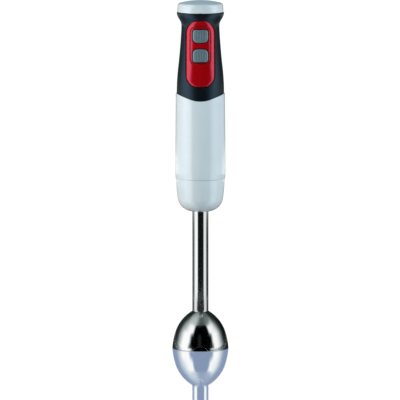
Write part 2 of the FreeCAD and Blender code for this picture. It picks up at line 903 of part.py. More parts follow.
def board_components():
    """Finned heat sink, a capacitor and a choke on the back of the board."""
    sink_z = board_low_z + heat_sink_rise + heat_sink_height / 2
    base = block(heat_sink_width, heat_sink_depth, heat_sink_height,
                 0, -board_back + heat_sink_depth / 2, sink_z)
    fins = []
    for x in (-1, 0, 1):
        fins.append(block(heat_sink_depth, heat_sink_reach, heat_sink_height,
                          x * (heat_sink_width - heat_sink_depth) / 2,
                          -board_back + heat_sink_reach / 2, sink_z))
    can_z = sink_z + heat_sink_height / 2 + capacitor_r + MARGIN
    can_start = FreeCAD.Vector(0, -board_back, can_z)
    can = rod(capacitor_r, can_start, can_start - FRONT * capacitor_length)
    choke_z = can_z + capacitor_r + choke_r + MARGIN
    choke_start = FreeCAD.Vector(0, -board_back, choke_z)
    choke = rod(choke_r, choke_start, choke_start - FRONT * choke_width)
    choke = choke.cut(rod(choke_r / 2, choke_start, choke_start - FRONT * choke_width))
    return Part.makeCompound([fused(base, *fins), can, choke])


def speed_potentiometer():
    """Potentiometer hanging under the deck, with its bush through it."""
    case = tube(0, pot_r, deck_z - pot_height, deck_z)
    bush = tube(0, pot_bush_r, deck_z, deck_top_z)
    bore = tube(0, spindle_r + running_gap, deck_z - spindle_depth - spindle_room, deck_top_z + MARGIN)
    return fused(case, bush).cut(bore)


# ---- Dial ----
def dial_deck():
    """Deck across the grip's flare that carries the potentiometer."""
    plate = filled(moved(GRIP, -grip_wall - seat_gap, True)).common(tube(0, FAR, deck_z, deck_top_z))
    return plate.cut(tube(0, pot_bush_r + seat_gap, deck_z - MARGIN, deck_top_z + MARGIN))


def speed_dial():
    """Turning ring on top of the grip, with a hub for the spindle."""
    shoulder_z = dial_z + dial_wall_height
    ledge_z = shoulder_z - dial_disc_edge
    floor_z = ledge_z - dial_floor
    inner_r = dial_foot_r - dial_wall
    hub_z = deck_top_z + turning_gap
    ring = turned(
        (0, hub_z),
        (dial_hub_r, hub_z),
        (dial_hub_r, floor_z),
        (inner_r, floor_z),
        (inner_r, dial_z),
        (dial_foot_r, dial_z),
        (dial_shoulder_r, shoulder_z),
        (dial_disc_r + seat_gap, shoulder_z),
        (dial_disc_r + seat_gap, ledge_z),
        (0, ledge_z),
    )
    ring = filleted(ring, dial_edge_round, lambda edge: is_ring(edge, dial_shoulder_r, shoulder_z))
    return ring.cut(spindle_blank(0.0, hub_z - MARGIN, ledge_z - dial_floor / 2))


def is_ring(edge, radius, z):
    """True for the full circle of a radius at a height."""
    box = edge.BoundBox
    return max(abs(box.ZMin - z), abs(box.ZMax - z), abs(box.XMax - radius)) < TINY


def dial_disc():
    """Domed disc let into the top of the dial."""
    ledge_z = dial_z + dial_wall_height - dial_disc_edge
    edge_z = ledge_z + dial_disc_edge
    crest_z = edge_z + dial_disc_rise
    top = Part.Arc(point(dial_disc_r, edge_z), dome_point(edge_z, crest_z), point(0, crest_z)).toShape()
    rest = Part.makePolygon([point(0, crest_z), point(0, ledge_z), point(dial_disc_r, ledge_z),
                             point(dial_disc_r, edge_z)])
    return Part.Face(Part.Wire([top] + rest.Edges)).revolve(ORIGIN, AXIS, 360)


def dome_point(edge_z, crest_z):
    """Point half way up the arc of the dial's dome, whose highest point is on the axis."""
    rise = crest_z - edge_z
    radius = (dial_disc_r ** 2 + rise ** 2) / (2 * rise)
    angle = math.asin(dial_disc_r / radius) / 2
    return point(radius * math.sin(angle), crest_z - radius * (1 - math.cos(angle)))


def spindle_blank(gap, low, high):
    """Round spindle with a flat at the back."""
    blank = tube(0, spindle_r + gap, low, high)
    cut = block(FAR, FAR, FAR * 2, 0, spindle_flat + gap + FAR / 2, (low + high) / 2)
    return blank.cut(cut)


def dial_spindle():
    """Spindle from the dial's hub into the potentiometer."""
    top_z = dial_z + dial_wall_height - dial_disc_edge - dial_floor / 2
    return spindle_blank(0.0, deck_z - spindle_depth, top_z)


# ---- Cord inlet ----
def cord_gland():
    """Rubber grommet in the back of the grip: the cord's way in."""
    outer_y = grip_radius(inlet_z) + inlet_flange
    neck_y = outer_y - 2 * inlet_flange - grip_wall
    start = FreeCAD.Vector(0, neck_y, inlet_z)
    back = FRONT * -1
    neck = rod(inlet_neck_r, start, start + back * (outer_y - neck_y))
    rim = rod(inlet_flange_r, start, start + back * (outer_y - neck_y))
    rim = rim.cut(skin(GRIP, seat_gap, grip_wall + seat_gap))
    whole = fused(neck, *rim.Solids)
    return whole.cut(rod(inlet_bore_r, start - back * MARGIN, start + back * FAR))


def cord_clamp():
    """Bar across the inlet, inside the grip, that holds the cord."""
    y = grip_radius(inlet_z) - grip_wall - inlet_flange - clamp_depth / 2 - clamp_gap
    bar = block(clamp_width, clamp_depth, clamp_height, 0, y, inlet_z - inlet_bore_r - clamp_height / 2)
    start = FreeCAD.Vector(0, 0, inlet_z)
    return bar.cut(rod(inlet_bore_r, start, start - FRONT * FAR))


# ---- Motor ----
def motor_mount_ring():
    """Rubber ring that the motor stands on."""
    low = motor_z - ring_height
    return tube(ring_r - 2 * socket_wall, ring_r, low, motor_z)


def bracket(low, bearing_low, crossed):
    """Motor bracket with a bearing cup, as one bar or as a cross."""
    high = low + bracket_thickness
    cup_r = bearing_r + bearing_wall
    hub = tube(0, cup_r, min(low, bearing_low), max(high, bearing_low + bearing_width))
    bars = [block(2 * bracket_r, bracket_arm, bracket_thickness, 0, 0, (low + high) / 2)]
    if crossed:
        bars.append(block(bracket_arm, 2 * bracket_r, bracket_thickness, 0, 0, (low + high) / 2))
    rim = tube(bracket_r - bracket_thickness, bracket_r, low, high)
    body = fused(hub, rim, *[bar.common(tube(0, bracket_r, low, high)) for bar in bars])
    body = body.cut(tube(0, bearing_r, bearing_low, bearing_low + bearing_width))
    body = body.cut(tube(0, shaft_r + 2 * turning_gap, low - FAR, high + FAR))
    return body.cut(Part.makeCompound(bolt_holes(bolt_r + seat_gap)))


def bolt_places():
    """Two through bolts, at the front and the back of the stator."""
    reach = stator_r - stator_yoke / 2
    return [(0.0, -reach), (0.0, reach)]


def bolt_holes(radius):
    """Cylinders for the through bolts, as long as the motor."""
    holes = []
    for x, y in bolt_places():
        start = FreeCAD.Vector(x, y, motor_z - MARGIN)
        holes.append(rod(radius, start, FreeCAD.Vector(x, y, shaft_top_z)))
    return holes


def motor_bolts():
    """Through bolts that clamp the stator between the brackets."""
    bolts = []
    for x, y in bolt_places():
        low = FreeCAD.Vector(x, y, lower_bracket_z)
        high = FreeCAD.Vector(x, y, upper_bracket_z + bracket_thickness)
        head = rod(bolt_head_r, high, high + AXIS * bolt_head)
        bolts.append(fused(rod(bolt_r, low, high), head))
    return Part.makeCompound(bolts)


def lower_bracket():
    """Bracket under the fan."""
    return bracket(lower_bracket_z, lower_bracket_z, True)


def upper_bracket():
    """Bracket over the commutator."""
    return bracket(upper_bracket_z, upper_bracket_z + bracket_thickness / 2, False)


def bearing(low):
    """Ball bearing as one ring with a shadow groove on each face."""
    ring = tube(shaft_r, bearing_r, low, low + bearing_width)
    groove_in, groove_out = shaft_r + bearing_wall, bearing_r - bearing_wall
    for z in (low, low + bearing_width - bearing_groove):
        ring = ring.cut(tube(groove_in, groove_out, z, z + bearing_groove))
    return ring


def lower_bearing():
    """Bearing in the lower bracket."""
    return loose_bore(bearing(lower_bracket_z), lower_bracket_z)


def upper_bearing():
    """Bearing in the upper bracket."""
    low = upper_bracket_z + bracket_thickness / 2
    return loose_bore(bearing(low), low)


def loose_bore(ring, low):
    """Opens a bearing's bore to a running fit on the shaft."""
    return ring.cut(tube(0, shaft_r + running_gap, low - MARGIN, low + bearing_width + MARGIN))


def stator_core():
    """Laminated yoke with two pole shoes at the sides."""
    yoke = tube(stator_r - stator_yoke, stator_r, stack_z, stack_top_z)
    shoes = [
        sector(stator_bore_r, stator_r - stator_yoke / 2, stack_z, stack_top_z, middle, pole_angle)
        for middle in (0.0, 180.0)
    ]
    core = fused(yoke, *shoes)
    return core.cut(Part.makeCompound(bolt_holes(bolt_r + seat_gap)))


def field_coils():
    """Two saddle coils round the poles: their sides lie in the gaps, their ends stand out."""
    inner = stator_bore_r + seat_gap
    outer = stator_r - stator_yoke - coil_gap
    side = (coil_angle - pole_angle) / 2 - MARGIN
    coils = []
    for middle in (0.0, 180.0):
        bands = []
        for way in (-1, 1):
            angle = middle + way * (pole_angle / 2 + MARGIN + side / 2)
            bands.append(sector(inner, outer, stack_z - coil_overhang, stack_top_z + coil_overhang,
                                angle, side))
        width = pole_angle + 2 * MARGIN + side
        for low in (stack_z - coil_overhang, stack_top_z + seat_gap):
            bands.append(sector(inner, outer, low, low + coil_overhang - seat_gap, middle, width))
        coils.append(fused(bands[0], *bands[1:]))
    return Part.makeCompound(coils)


def armature_shaft():
    """Motor shaft from the drive dog up through the upper bearing."""
    return tube(0, shaft_r, dog_z + star_height + dog_web - shaft_seat, shaft_top_z)


def armature_core():
    """Slotted rotor stack."""
    core = tube(shaft_r, armature_r, stack_z, stack_top_z)
    low, high = shaft_r + armature_web, armature_r - slot_lip
    middle_z = (stack_z + stack_top_z) / 2
    slot = block(slot_width, high - low, stack_height + 2 * MARGIN, 0, (low + high) / 2, middle_z)
    mouth = block(slot_width / 2, slot_lip + MARGIN, stack_height + 2 * MARGIN,
                  0, armature_r + (MARGIN - slot_lip) / 2, middle_z)
    return core.cut(Part.makeCompound(around(fused(slot, mouth), armature_slots)))


def armature_windings():
    """Rounded end turns above and below the rotor stack."""
    ends = []
    for inner_z, way in ((stack_z, -1), (stack_top_z, 1)):
        outer_z = inner_z + way * winding_height
        ends.append(turned(
            (shaft_r, inner_z),
            (winding_r - winding_slope, inner_z),
            (winding_r, inner_z + way * winding_slope),
            (winding_r, outer_z - way * winding_slope),
            (winding_r - winding_slope, outer_z),
            (shaft_r, outer_z),
        ))
    return Part.makeCompound(ends)


def commutator():
    """Copper commutator with cuts between its bars."""
    low, high = commutator_z, commutator_z + commutator_length
    drum = tube(shaft_r, commutator_r, low, high)
    cut = block(commutator_cut, 2 * MARGIN, commutator_length + 2 * MARGIN,
                0, commutator_r, (low + high) / 2)
    return drum.cut(Part.makeCompound(around(cut, commutator_bars)))


def cooling_fan():
    """Radial fan: a disc with upright blades."""
    hub = tube(0, fan_hub_r, fan_z, fan_z + fan_height)
    disc = tube(0, fan_r, fan_z + fan_height - fan_disc, fan_z + fan_height)
    length = fan_r - fan_hub_r + MARGIN
    vane = block(length, fan_blade_thickness, fan_height - fan_disc / 2,
                 fan_r - length / 2, 0, fan_z + (fan_height - fan_disc / 2) / 2)
    vane = vane.common(tube(0, fan_r, fan_z, fan_z + fan_height))
    wheel = fused(hub, disc, *around(vane, fan_blades))
    return wheel.cut(tube(0, shaft_r, fan_z - MARGIN, fan_z + fan_height + MARGIN))


def drive_dog():
    """Cup on the motor shaft that the coupling star plugs into."""
    high = dog_z + star_height + dog_web
    cup = tube(0, dog_r, dog_z, high)
    recess = star_face(slide_gap, dog_z - MARGIN).extrude(AXIS * (star_height + 2 * MARGIN))
    cup = cup.cut(recess)
    return cup.cut(tube(0, shaft_r, high - shaft_seat, high + MARGIN))


def brush_places():
    """Directions of the two brushes, at the left and the right."""
    return (FreeCAD.Vector(-1, 0, 0), FreeCAD.Vector(1, 0, 0))


def brush_bar(way, start_r, end_r, width, height):
    """Bar along a brush's direction between two radii."""
    middle = way * ((start_r + end_r) / 2)
    return block(end_r - start_r, width, height, middle.x, 0, brush_z)


def brush_holders():
    """Two brass boxes for the brushes."""
    start = commutator_r + 2 * MARGIN
    holders = []
    for way in brush_places():
        width, height = brush_width + 2 * seat_gap, brush_height + 2 * seat_gap
        box = brush_bar(way, start, start + holder_length,
                        width + 2 * holder_wall, height + 2 * holder_wall)
        inner = brush_bar(way, start - MARGIN, start + holder_length - holder_wall, width, height)
        holders.append(box.cut(inner))
    return Part.makeCompound(holders)


def carbon_brushes():
    """Carbon blocks that run on the commutator."""
    brushes = []
    for way in brush_places():
        bar = brush_bar(way, commutator_r - MARGIN, commutator_r + brush_length, brush_width, brush_height)
        brushes.append(bar.cut(tube(0, commutator_r + running_gap, brush_z - FAR, brush_z + FAR)))
    return Part.makeCompound(brushes)


def brush_springs():
    """Bent leaf springs that press on the brushes from behind."""
    springs = []
    start = commutator_r + brush_length
    end = commutator_r + 2 * MARGIN + holder_length - holder_wall
    half = brush_height / 2
    leaf = leaf_thickness
    for way in brush_places():
        middle = (start + end) / 2
        corners = [(start, 0), (middle, half), (end, half), (end, half - leaf), (middle + leaf, half - leaf),
                   (start + leaf, 0), (middle + leaf, leaf - half), (end, leaf - half), (end, -half),
                   (middle, -half), (start, 0)]
        points = [FreeCAD.Vector(r * way.x, -leaf_width / 2, brush_z + z) for r, z in corners]
        face = Part.Face(Part.makePolygon(points))
        springs.append(face.extrude(FreeCAD.Vector(0, leaf_width, 0)))
    return Part.makeCompound(springs)


def all_parts():
    """Every node's name with its shape."""
    makers = [
        blade_guard, stem_tube, foot_collar, foot_spigot, foot_seal_ring, bearing_carrier,
        lower_bush, upper_bush, shaft_seal,
        drive_shaft, coupling_star, blade, blade_nut, thrust_washer,
        foot_socket, body_shell, grip_front, grip_rear, control_panel, button_surround,
        speed_button, turbo_button,
        circuit_board, microswitches, board_components, speed_potentiometer,
        dial_deck, speed_dial, dial_disc, dial_spindle, cord_gland, cord_clamp,
        motor_mount_ring, lower_bracket, upper_bracket, lower_bearing, upper_bearing, motor_bolts,
        stator_core, field_coils, brush_holders, carbon_brushes, brush_springs,
        armature_shaft, armature_core, armature_windings, commutator, cooling_fan, drive_dog,
    ]
    parts = {maker.__name__: maker() for maker in makers}
    parts["speed_dome"] = switch_dome(upper_button_z)
    parts["turbo_dome"] = switch_dome(lower_button_z)
    return parts


os.makedirs("parts", exist_ok=True)
for name, shape in all_parts().items():
    shape.exportStep(f"parts/{name}.step")
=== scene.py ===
"""Looks of a hand blender: fine shells, finishes, stage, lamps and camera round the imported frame.

Lengths are in metres. +Z runs up the drive axis, and the buttons face -Y.
"""

import json
import logging
import math
from collections.abc import Callable, Sequence
from dataclasses import dataclass, replace
from enum import Enum
from typing import Any

import bmesh
import bpy
import numpy as np
from bpy.types import Material, Mesh, Node, NodeSocket, NodeTree, Object, World
from mathutils import Matrix, Vector


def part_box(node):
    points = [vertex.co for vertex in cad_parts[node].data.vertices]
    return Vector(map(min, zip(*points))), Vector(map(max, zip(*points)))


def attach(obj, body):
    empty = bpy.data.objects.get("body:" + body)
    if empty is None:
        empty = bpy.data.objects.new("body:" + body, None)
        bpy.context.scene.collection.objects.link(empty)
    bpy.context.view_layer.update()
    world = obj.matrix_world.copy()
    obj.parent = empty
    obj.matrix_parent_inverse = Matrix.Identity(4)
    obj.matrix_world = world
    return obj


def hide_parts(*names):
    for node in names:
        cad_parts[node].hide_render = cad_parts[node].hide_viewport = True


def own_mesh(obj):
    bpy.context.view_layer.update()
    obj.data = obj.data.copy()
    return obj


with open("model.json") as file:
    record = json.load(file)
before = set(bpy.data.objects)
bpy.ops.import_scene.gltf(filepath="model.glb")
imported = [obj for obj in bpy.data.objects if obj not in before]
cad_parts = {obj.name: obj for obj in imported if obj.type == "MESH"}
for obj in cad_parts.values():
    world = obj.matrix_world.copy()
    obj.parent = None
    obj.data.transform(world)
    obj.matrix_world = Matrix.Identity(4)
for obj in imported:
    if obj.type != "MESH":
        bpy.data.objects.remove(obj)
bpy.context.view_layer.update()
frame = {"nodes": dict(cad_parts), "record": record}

log = logging.getLogger("hand_blender")

MM = 0.001
FULL_TURN = 2 * math.pi
WELD = 0.002 * MM  # points nearer than this are one point
CORNER_POINTS = 5  # over an eased corner

Pair = tuple[float, float]
Triple = tuple[float, float, float]
Colour = Triple

PLAIN_WHITE: Colour = (1.0, 1.0, 1.0)


def low(node: str) -> Vector:
    """Lowest corner of a CAD node's box."""
    return Vector(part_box(node)[0])


def high(node: str) -> Vector:
    """Highest corner of a CAD node's box."""
    return Vector(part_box(node)[1])


# ---- Node trees ----


def operator(operation: str, flipped: bool = False) -> Callable[["Term", "Number"], "Term"]:
    """Python operator that adds one Math node.

    Args:
        operation: The node's operation.
        flipped: True puts the term second.

    Returns:
        The operator, as a method of Term.
    """
    def worked(term: "Term", other: "Number") -> "Term":
        """Adds the node and gives its result."""
        return term.graph.maths(operation, *((other, term) if flipped else (term, other)))
    return worked


class Term:
    """A number on a node's socket, so that a sum written in Python adds Math nodes."""

    def __init__(self, graph: "Graph", socket: NodeSocket) -> None:
        """Term on an output of one of a graph's nodes."""
        self.graph = graph
        self.socket = socket

    __add__, __radd__ = operator("ADD"), operator("ADD", flipped=True)
    __sub__, __rsub__ = operator("SUBTRACT"), operator("SUBTRACT", flipped=True)
    __mul__, __rmul__ = operator("MULTIPLY"), operator("MULTIPLY", flipped=True)
    __truediv__, __pow__ = operator("DIVIDE"), operator("POWER")

    def cos(self) -> "Term":
        """Cosine of an angle in radians."""
        return self.graph.maths("COSINE", self)

    def sin(self) -> "Term":
        """Sine of an angle in radians."""
        return self.graph.maths("SINE", self)

    def rounded(self) -> "Term":
        """Nearest whole number."""
        return self.graph.maths("ROUND", self)

    def between(self, start: float, end: float) -> "Term":
        """0 up to start, 1 from end, and a smooth rise between them.

        Args:
            start: Value up to which the result is 0.
            end: Value from which it is 1.

        Returns:
            The result.
        """
        node = self.graph.add(
            "ShaderNodeMapRange", {"Value": self, "From Min": start, "From Max": end},
            interpolation_type="SMOOTHSTEP")
        return Term(self.graph, node.outputs["Result"])


Number = Term | float


class Graph:
    """Adds nodes to one tree, for a material or for geometry."""

    def __init__(self, tree: NodeTree) -> None:
        """Graph on a tree."""
        self.tree = tree

    @classmethod
    def emptied(cls, owner: Material | World) -> "Graph":
        """Graph on the emptied tree of a material or a world.

        Args:
            owner: The material or the world.

        Returns:
            The graph.
        """
        owner.use_nodes = True
        owner.node_tree.nodes.clear()
        return cls(owner.node_tree)

    def add(self, kind: str, inputs: dict[str | int, Any] | None = None,
            **settings: Any) -> Node:
        """Adds one node.

        Args:
            kind: The node's type.
            inputs: Values or links of its sockets, by name or number.
            settings: The node's own settings, which are set first.

        Returns:
            The new node.
        """
        node = self.tree.nodes.new(kind)
        for name, value in settings.items():
            setattr(node, name, value)
        for key, value in (inputs or {}).items():
            self.plug(self._input(node, key), value)
        return node

    @staticmethod
    def _input(node: Node, key: str | int) -> NodeSocket:
        """Input of a node.

        Args:
            node: The node.
            key: The input's number, or its name among those in use.

        Returns:
            The input.
        """
        if isinstance(key, int):
            return node.inputs[key]
        return next(socket for socket in node.inputs if socket.name == key and socket.enabled)

    def plug(self, socket: NodeSocket, value: Any) -> None:
        """Links or sets an input.

        Args:
            socket: The input.
            value: A term, a node, for its first output, a socket, or a plain value.
        """
        if isinstance(value, Term):
            value = value.socket
        if isinstance(value, Node):
            value = next(output for output in value.outputs if output.enabled)
        if isinstance(value, NodeSocket):
            self.tree.links.new(value, socket)
        elif socket.type == "RGBA":
            socket.default_value = (*value, 1.0)
        else:
            socket.default_value = value

    def maths(self, operation: str, *values: Number) -> Term:
        """Term that a Math node makes from terms and numbers."""
        node = self.add("ShaderNodeMath", dict(enumerate(values)), operation=operation)
        return Term(self, node.outputs[0])

    def mixed(self, factor: Number, first: Any, second: Any) -> NodeSocket:
        """Colour between two colours."""
        node = self.add("ShaderNodeMix", {0: factor, 6: first, 7: second}, data_type="RGBA")
        return node.outputs[2]

    def axes(self, vector: Any) -> tuple[Term, Term, Term]:
        """The three numbers of a vector."""
        x, y, z = self.add("ShaderNodeSeparateXYZ", {0: vector}).outputs
        return Term(self, x), Term(self, y), Term(self, z)

    def vector(self, x: Number, y: Number, z: Number) -> NodeSocket:
        """Vector of three numbers."""
        return self.add("ShaderNodeCombineXYZ", {0: x, 1: y, 2: z}).outputs[0]

    def blended(self, factor: Number, first: Any, second: Any) -> Node:
        """Surface between two surfaces."""
        return self.add("ShaderNodeMixShader", {0: factor, 1: first, 2: second})

    def glow(self, colour: Any, strength: Number) -> None:
        """Makes the whole surface a light."""
        light = self.add("ShaderNodeEmission", {"Color": colour, "Strength": strength})
        self.add("ShaderNodeOutputMaterial", {"Surface": light})


class Shader(Graph):
    """Material graph with a Principled shader and the patterns that the finishes share."""

    def __init__(self, material: Material) -> None:
        """Graph of a material, whose nodes are made anew.

        Args:
            material: The material.
        """
        super().__init__(Graph.emptied(material).tree)
        self.surface = self.add("ShaderNodeBsdfPrincipled")
        self.add("ShaderNodeOutputMaterial", {"Surface": self.surface})
        self.place = self.add("ShaderNodeTexCoord").outputs["Object"]

    def set(self, **sockets: Any) -> None:
        """Sets or links the surface's sockets.

        Args:
            sockets: Values or links, by name; an underscore stands for a space.
        """
        for name, value in sockets.items():
            label = name.replace("_", " ").title().replace("Ior", "IOR")
            self.plug(self.surface.inputs[label], value)

    def noise(self, size: float, detail: float = 2.0,
              stretch: Sequence[float] = (1, 1, 1)) -> Term:
        """Cloudy pattern from 0 to 1.

        Args:
            size: Width of its spots, in metres.
            detail: How many finer layers it has.
            stretch: How much longer the spots are along each axis.

        Returns:
            The pattern's value.
        """
        scale = tuple(1.0 / (size * length) for length in stretch)
        spots = self.add("ShaderNodeMapping", {"Vector": self.place, "Scale": scale})
        node = self.add("ShaderNodeTexNoise", {"Vector": spots, "Scale": 1.0, "Detail": detail})
        return Term(self, node.outputs[0])

    def facing(self) -> Term:
        """0 where the surface faces the ray, 1 where it only grazes it."""
        return Term(self, self.add("ShaderNodeLayerWeight", {"Blend": 0.5}).outputs["Facing"])

    def bump(self, height: Term, depth: float) -> None:
        """Bumps the surface by a pattern that is depth metres deep."""
        self.set(normal=self.add(
            "ShaderNodeBump", {"Strength": 1.0, "Distance": depth, "Height": height}))


# ---- Finishes ----


def shaded(colour: Colour, share: float) -> Colour:
    """A colour at a share of its brightness."""
    return tuple(min(1.0, channel * share) for channel in colour)


@dataclass(frozen=True)
class Finish:
    """A surface finish. Its material is made once, from the fields."""

    slot: str

    def dress(self, shader: Shader) -> None:
        """Builds the material's nodes."""
        raise NotImplementedError

    def material(self) -> Material:
        """The finish's material, made the first time it is asked for.

        Returns:
            The material.
        """
        name = f"{self.slot}_finish"
        made = bpy.data.materials.get(name)
        if made is None:
            made = bpy.data.materials.new(name)
            self.dress(Shader(made))
        return made


@dataclass(frozen=True)
class Moulded(Finish):
    """Moulded plastic or rubber: a fine skin, a faint mottle, slightly uneven gloss and a painted
    sheen at a slant.
    """

    colour: Colour
    roughness: float
    grain: float = 0.35 * MM
    depth: float = 0.006 * MM
    mottle: float = 0.03
    coat: float = 0.0
    specular: float = 0.5
    shine: Colour = PLAIN_WHITE
    metallic: float = 0.0
    rim: float = 0.0  # painted sheen: how white its colour turns where it is seen at a slant
    slant: Pair = (0.3, 0.85)
    cloud: float = 14 * MM
    smear: float = 3 * MM
    coat_roughness: float = 0.06
    uneven: float = 0.2  # share by which the roughness varies

    def dress(self, shader: Shader) -> None:
        """Builds the material's nodes.

        Args:
            shader: The material's graph.
        """
        cloud = shader.noise(self.cloud, 3)
        # painted sheen: the base colour is whitened where the surface is seen at a slant
        edge = self.rim * shader.facing().between(*self.slant)
        skin = shader.noise(self.grain, 2)
        dark, light = (shaded(self.colour, 1 + way * self.mottle) for way in (-1, 1))
        shader.set(
            base_color=shader.mixed(edge, shader.mixed(cloud, dark, light), PLAIN_WHITE),
            roughness=self.roughness * (
                1 - self.uneven / 2 + self.uneven * shader.noise(self.smear, 3)),
            metallic=self.metallic,
            specular_ior_level=self.specular,
            specular_tint=self.shine,
            coat_weight=self.coat,
            coat_roughness=self.coat_roughness,
        )
        shader.bump(skin, self.depth)


@dataclass(frozen=True)
class Polished(Finish):
    """Mirror-polished sheet or tube with faint lines round it from the polishing wheel, and painted
    shade at a slant.
    """

    colour: Colour
    roughness: float = 0.05
    line: float = 0.25 * MM
    line_stretch: Triple = (90, 90, 1)
    line_depth: float = 0.0015 * MM
    smear: float = 9 * MM
    smear_shade: float = 0.96
    smear_edge: Pair = (0.5, 0.8)
    # painted shade: share of its brightness left where the surface is seen at a slant
    painted_edge_shade: float = 0.16
    slant: Pair = (0.38, 0.88)
    line_blur: float = 0.03
    smear_blur: float = 0.04

    def dress(self, shader: Shader) -> None:
        """Builds the material's nodes.

        Args:
            shader: The material's graph.
        """
        lines = shader.noise(self.line, 3, self.line_stretch)
        smears = shader.noise(self.smear, 4)
        tint = shader.mixed(smears, self.colour, shaded(self.colour, self.smear_shade))
        # painted shade: the colour darkens where the surface is seen at a slant
        edge = shaded(self.colour, self.painted_edge_shade)
        tint = shader.mixed(shader.facing().between(*self.slant), tint, edge)
        shader.set(
            base_color=tint,
            metallic=1.0,
            roughness=(self.roughness + self.line_blur * lines
                       + self.smear_blur * smears.between(*self.smear_edge)),
        )
        shader.bump(lines, self.line_depth)


@dataclass(frozen=True)
class Turned(Finish):
    """Metal left as the lathe or the grinder made it."""

    colour: Colour
    roughness: float = 0.3
    line: float = 0.18 * MM
    line_stretch: Triple = (40, 40, 1)
    line_depth: float = 0.008 * MM
    blotch: float = 5 * MM
    blotch_shade: float = 0.85
    uneven: float = 0.5  # share by which the roughness varies

    def dress(self, shader: Shader) -> None:
        """Builds the material's nodes.

        Args:
            shader: The material's graph.
        """
        lines = shader.noise(self.line, 2, self.line_stretch)
        blotches = shader.noise(self.blotch, 3)
        tint = shader.mixed(blotches, self.colour, shaded(self.colour, self.blotch_shade))
        shader.set(
            base_color=tint,
            metallic=1.0,
            roughness=self.roughness * (1 - self.uneven / 2 + self.uneven * lines),
        )
        shader.bump(lines, self.line_depth)


@dataclass(frozen=True)
class Layered(Finish):
    """Bands stacked along the drive axis: laminations or turns of wire."""

    colour: Colour
    gap_colour: Colour
    pitch: float
    metallic: float = 1.0
    roughness: float = 0.35
    gap_edge: Pair = (0.15, 0.6)
    patch: float = 2 * MM
    patch_blur: float = 0.15
    depth: float = 0.06 * MM

    def dress(self, shader: Shader) -> None:
        """Builds the material's nodes.

        Args:
            shader: The material's graph.
        """
        _, _, z = shader.axes(shader.place)
        wave = (z * (FULL_TURN / self.pitch)).sin() * 0.5 + 0.5
        patches = shader.noise(self.patch, 3)
        shader.set(
            base_color=shader.mixed(
                wave.between(*self.gap_edge), self.gap_colour, self.colour),
            metallic=self.metallic,
            roughness=self.roughness + self.patch_blur * patches,
        )
        shader.bump(wave, self.depth)


@dataclass(frozen=True)
class Board(Finish):
    """Circuit board: solder mask over copper tracks."""

    mask_colour: Colour
    track_colour: Colour
    pitch: Pair = (2.6 * MM, 4.1 * MM)  # of the tracks, across and up
    track_edge: Pair = (0.1, 0.2)
    depth: float = 0.03 * MM
    roughness: float = 0.32
    grain: float = 1.2 * MM
    grain_blur: float = 0.1
    coat: float = 0.4

    def dress(self, shader: Shader) -> None:
        """Builds the material's nodes.

        Args:
            shader: The material's graph.
        """
        x, _, z = shader.axes(shader.place)
        across, up = (FULL_TURN / pitch for pitch in self.pitch)
        tracks = ((x * across).sin() * (z * up).cos()).between(*self.track_edge)
        shader.set(
            base_color=shader.mixed(tracks, self.mask_colour, self.track_colour),
            roughness=self.roughness + self.grain_blur * shader.noise(self.grain),
            coat_weight=self.coat,
        )
        shader.bump(tracks, self.depth)


# rim paints a whiter sheen on the white plastic where it is seen at a slant
WHITE = Moulded("white_plastic", (0.70, 0.785, 0.825), 0.2, coat=0.9, specular=0.8, rim=0.7)
BLACK = Moulded(
    "black_plastic", (0.0035, 0.0043, 0.0058), 0.36, grain=0.22 * MM, depth=0.012 * MM,
    specular=0.85, shine=(0.36, 0.68, 1.0))
RED = Moulded(
    "red_gloss", (0.58, 0.0, 0.0), 0.18, mottle=0.06, depth=0.002 * MM, coat=0.72,
    specular=1.0, shine=(0.9, 0.35, 1.0), metallic=0.34)
BUTTON_GREY = Moulded("button_grey", (0.125, 0.20, 0.235), 0.24, coat=1.0, specular=1.0)
# rim paints a whiter sheen on the dial's grey where it is seen at a slant
DIAL_GREY = Moulded("dial_grey", (0.67, 0.76, 0.795), 0.2, coat=0.9, specular=0.9, rim=0.8)
DIAL_CAP_GREY = Moulded("dial_cap_grey", (0.60, 0.70, 0.76), 0.36)
# the steel carries painted shade where it is seen at a slant
STEEL = Polished("polished_steel", (0.72, 0.72, 0.72), 0.08)
RUBBER = Moulded("rubber_black", (0.018, 0.018, 0.019), 0.62, grain=0.3 * MM, depth=0.02 * MM)
FINISHES: list[Finish] = [
    WHITE, BLACK, RED, BUTTON_GREY, DIAL_GREY, DIAL_CAP_GREY, STEEL, RUBBER,
    Moulded("inner_plastic", (0.20, 0.20, 0.21), 0.45),
    Turned("machined_steel", (0.56, 0.56, 0.57)),
    Layered("lamination_steel", (0.36, 0.36, 0.38), (0.05, 0.05, 0.055), 0.5 * MM),
    Layered("copper", (0.66, 0.27, 0.12), (0.18, 0.05, 0.02), 0.45 * MM),
    Turned("brass", (0.66, 0.47, 0.20), 0.4),
    Moulded("carbon", (0.03, 0.03, 0.032), 0.55, grain=0.15 * MM, depth=0.03 * MM, mottle=0.3),
    Board("board", (0.02, 0.17, 0.06), (0.05, 0.27, 0.10)),
    Moulded("board_parts", (0.07, 0.07, 0.08), 0.4),
]
FINISH_OF_SLOT = {finish.slot: finish for finish in FINISHES}


# ---- Outlines ----


@dataclass(frozen=True)
class Knot:
    """Corner of a half section, with the outward bulge of the run that leads to it."""

    r: float
    z: float
    bulge: float = 0.0


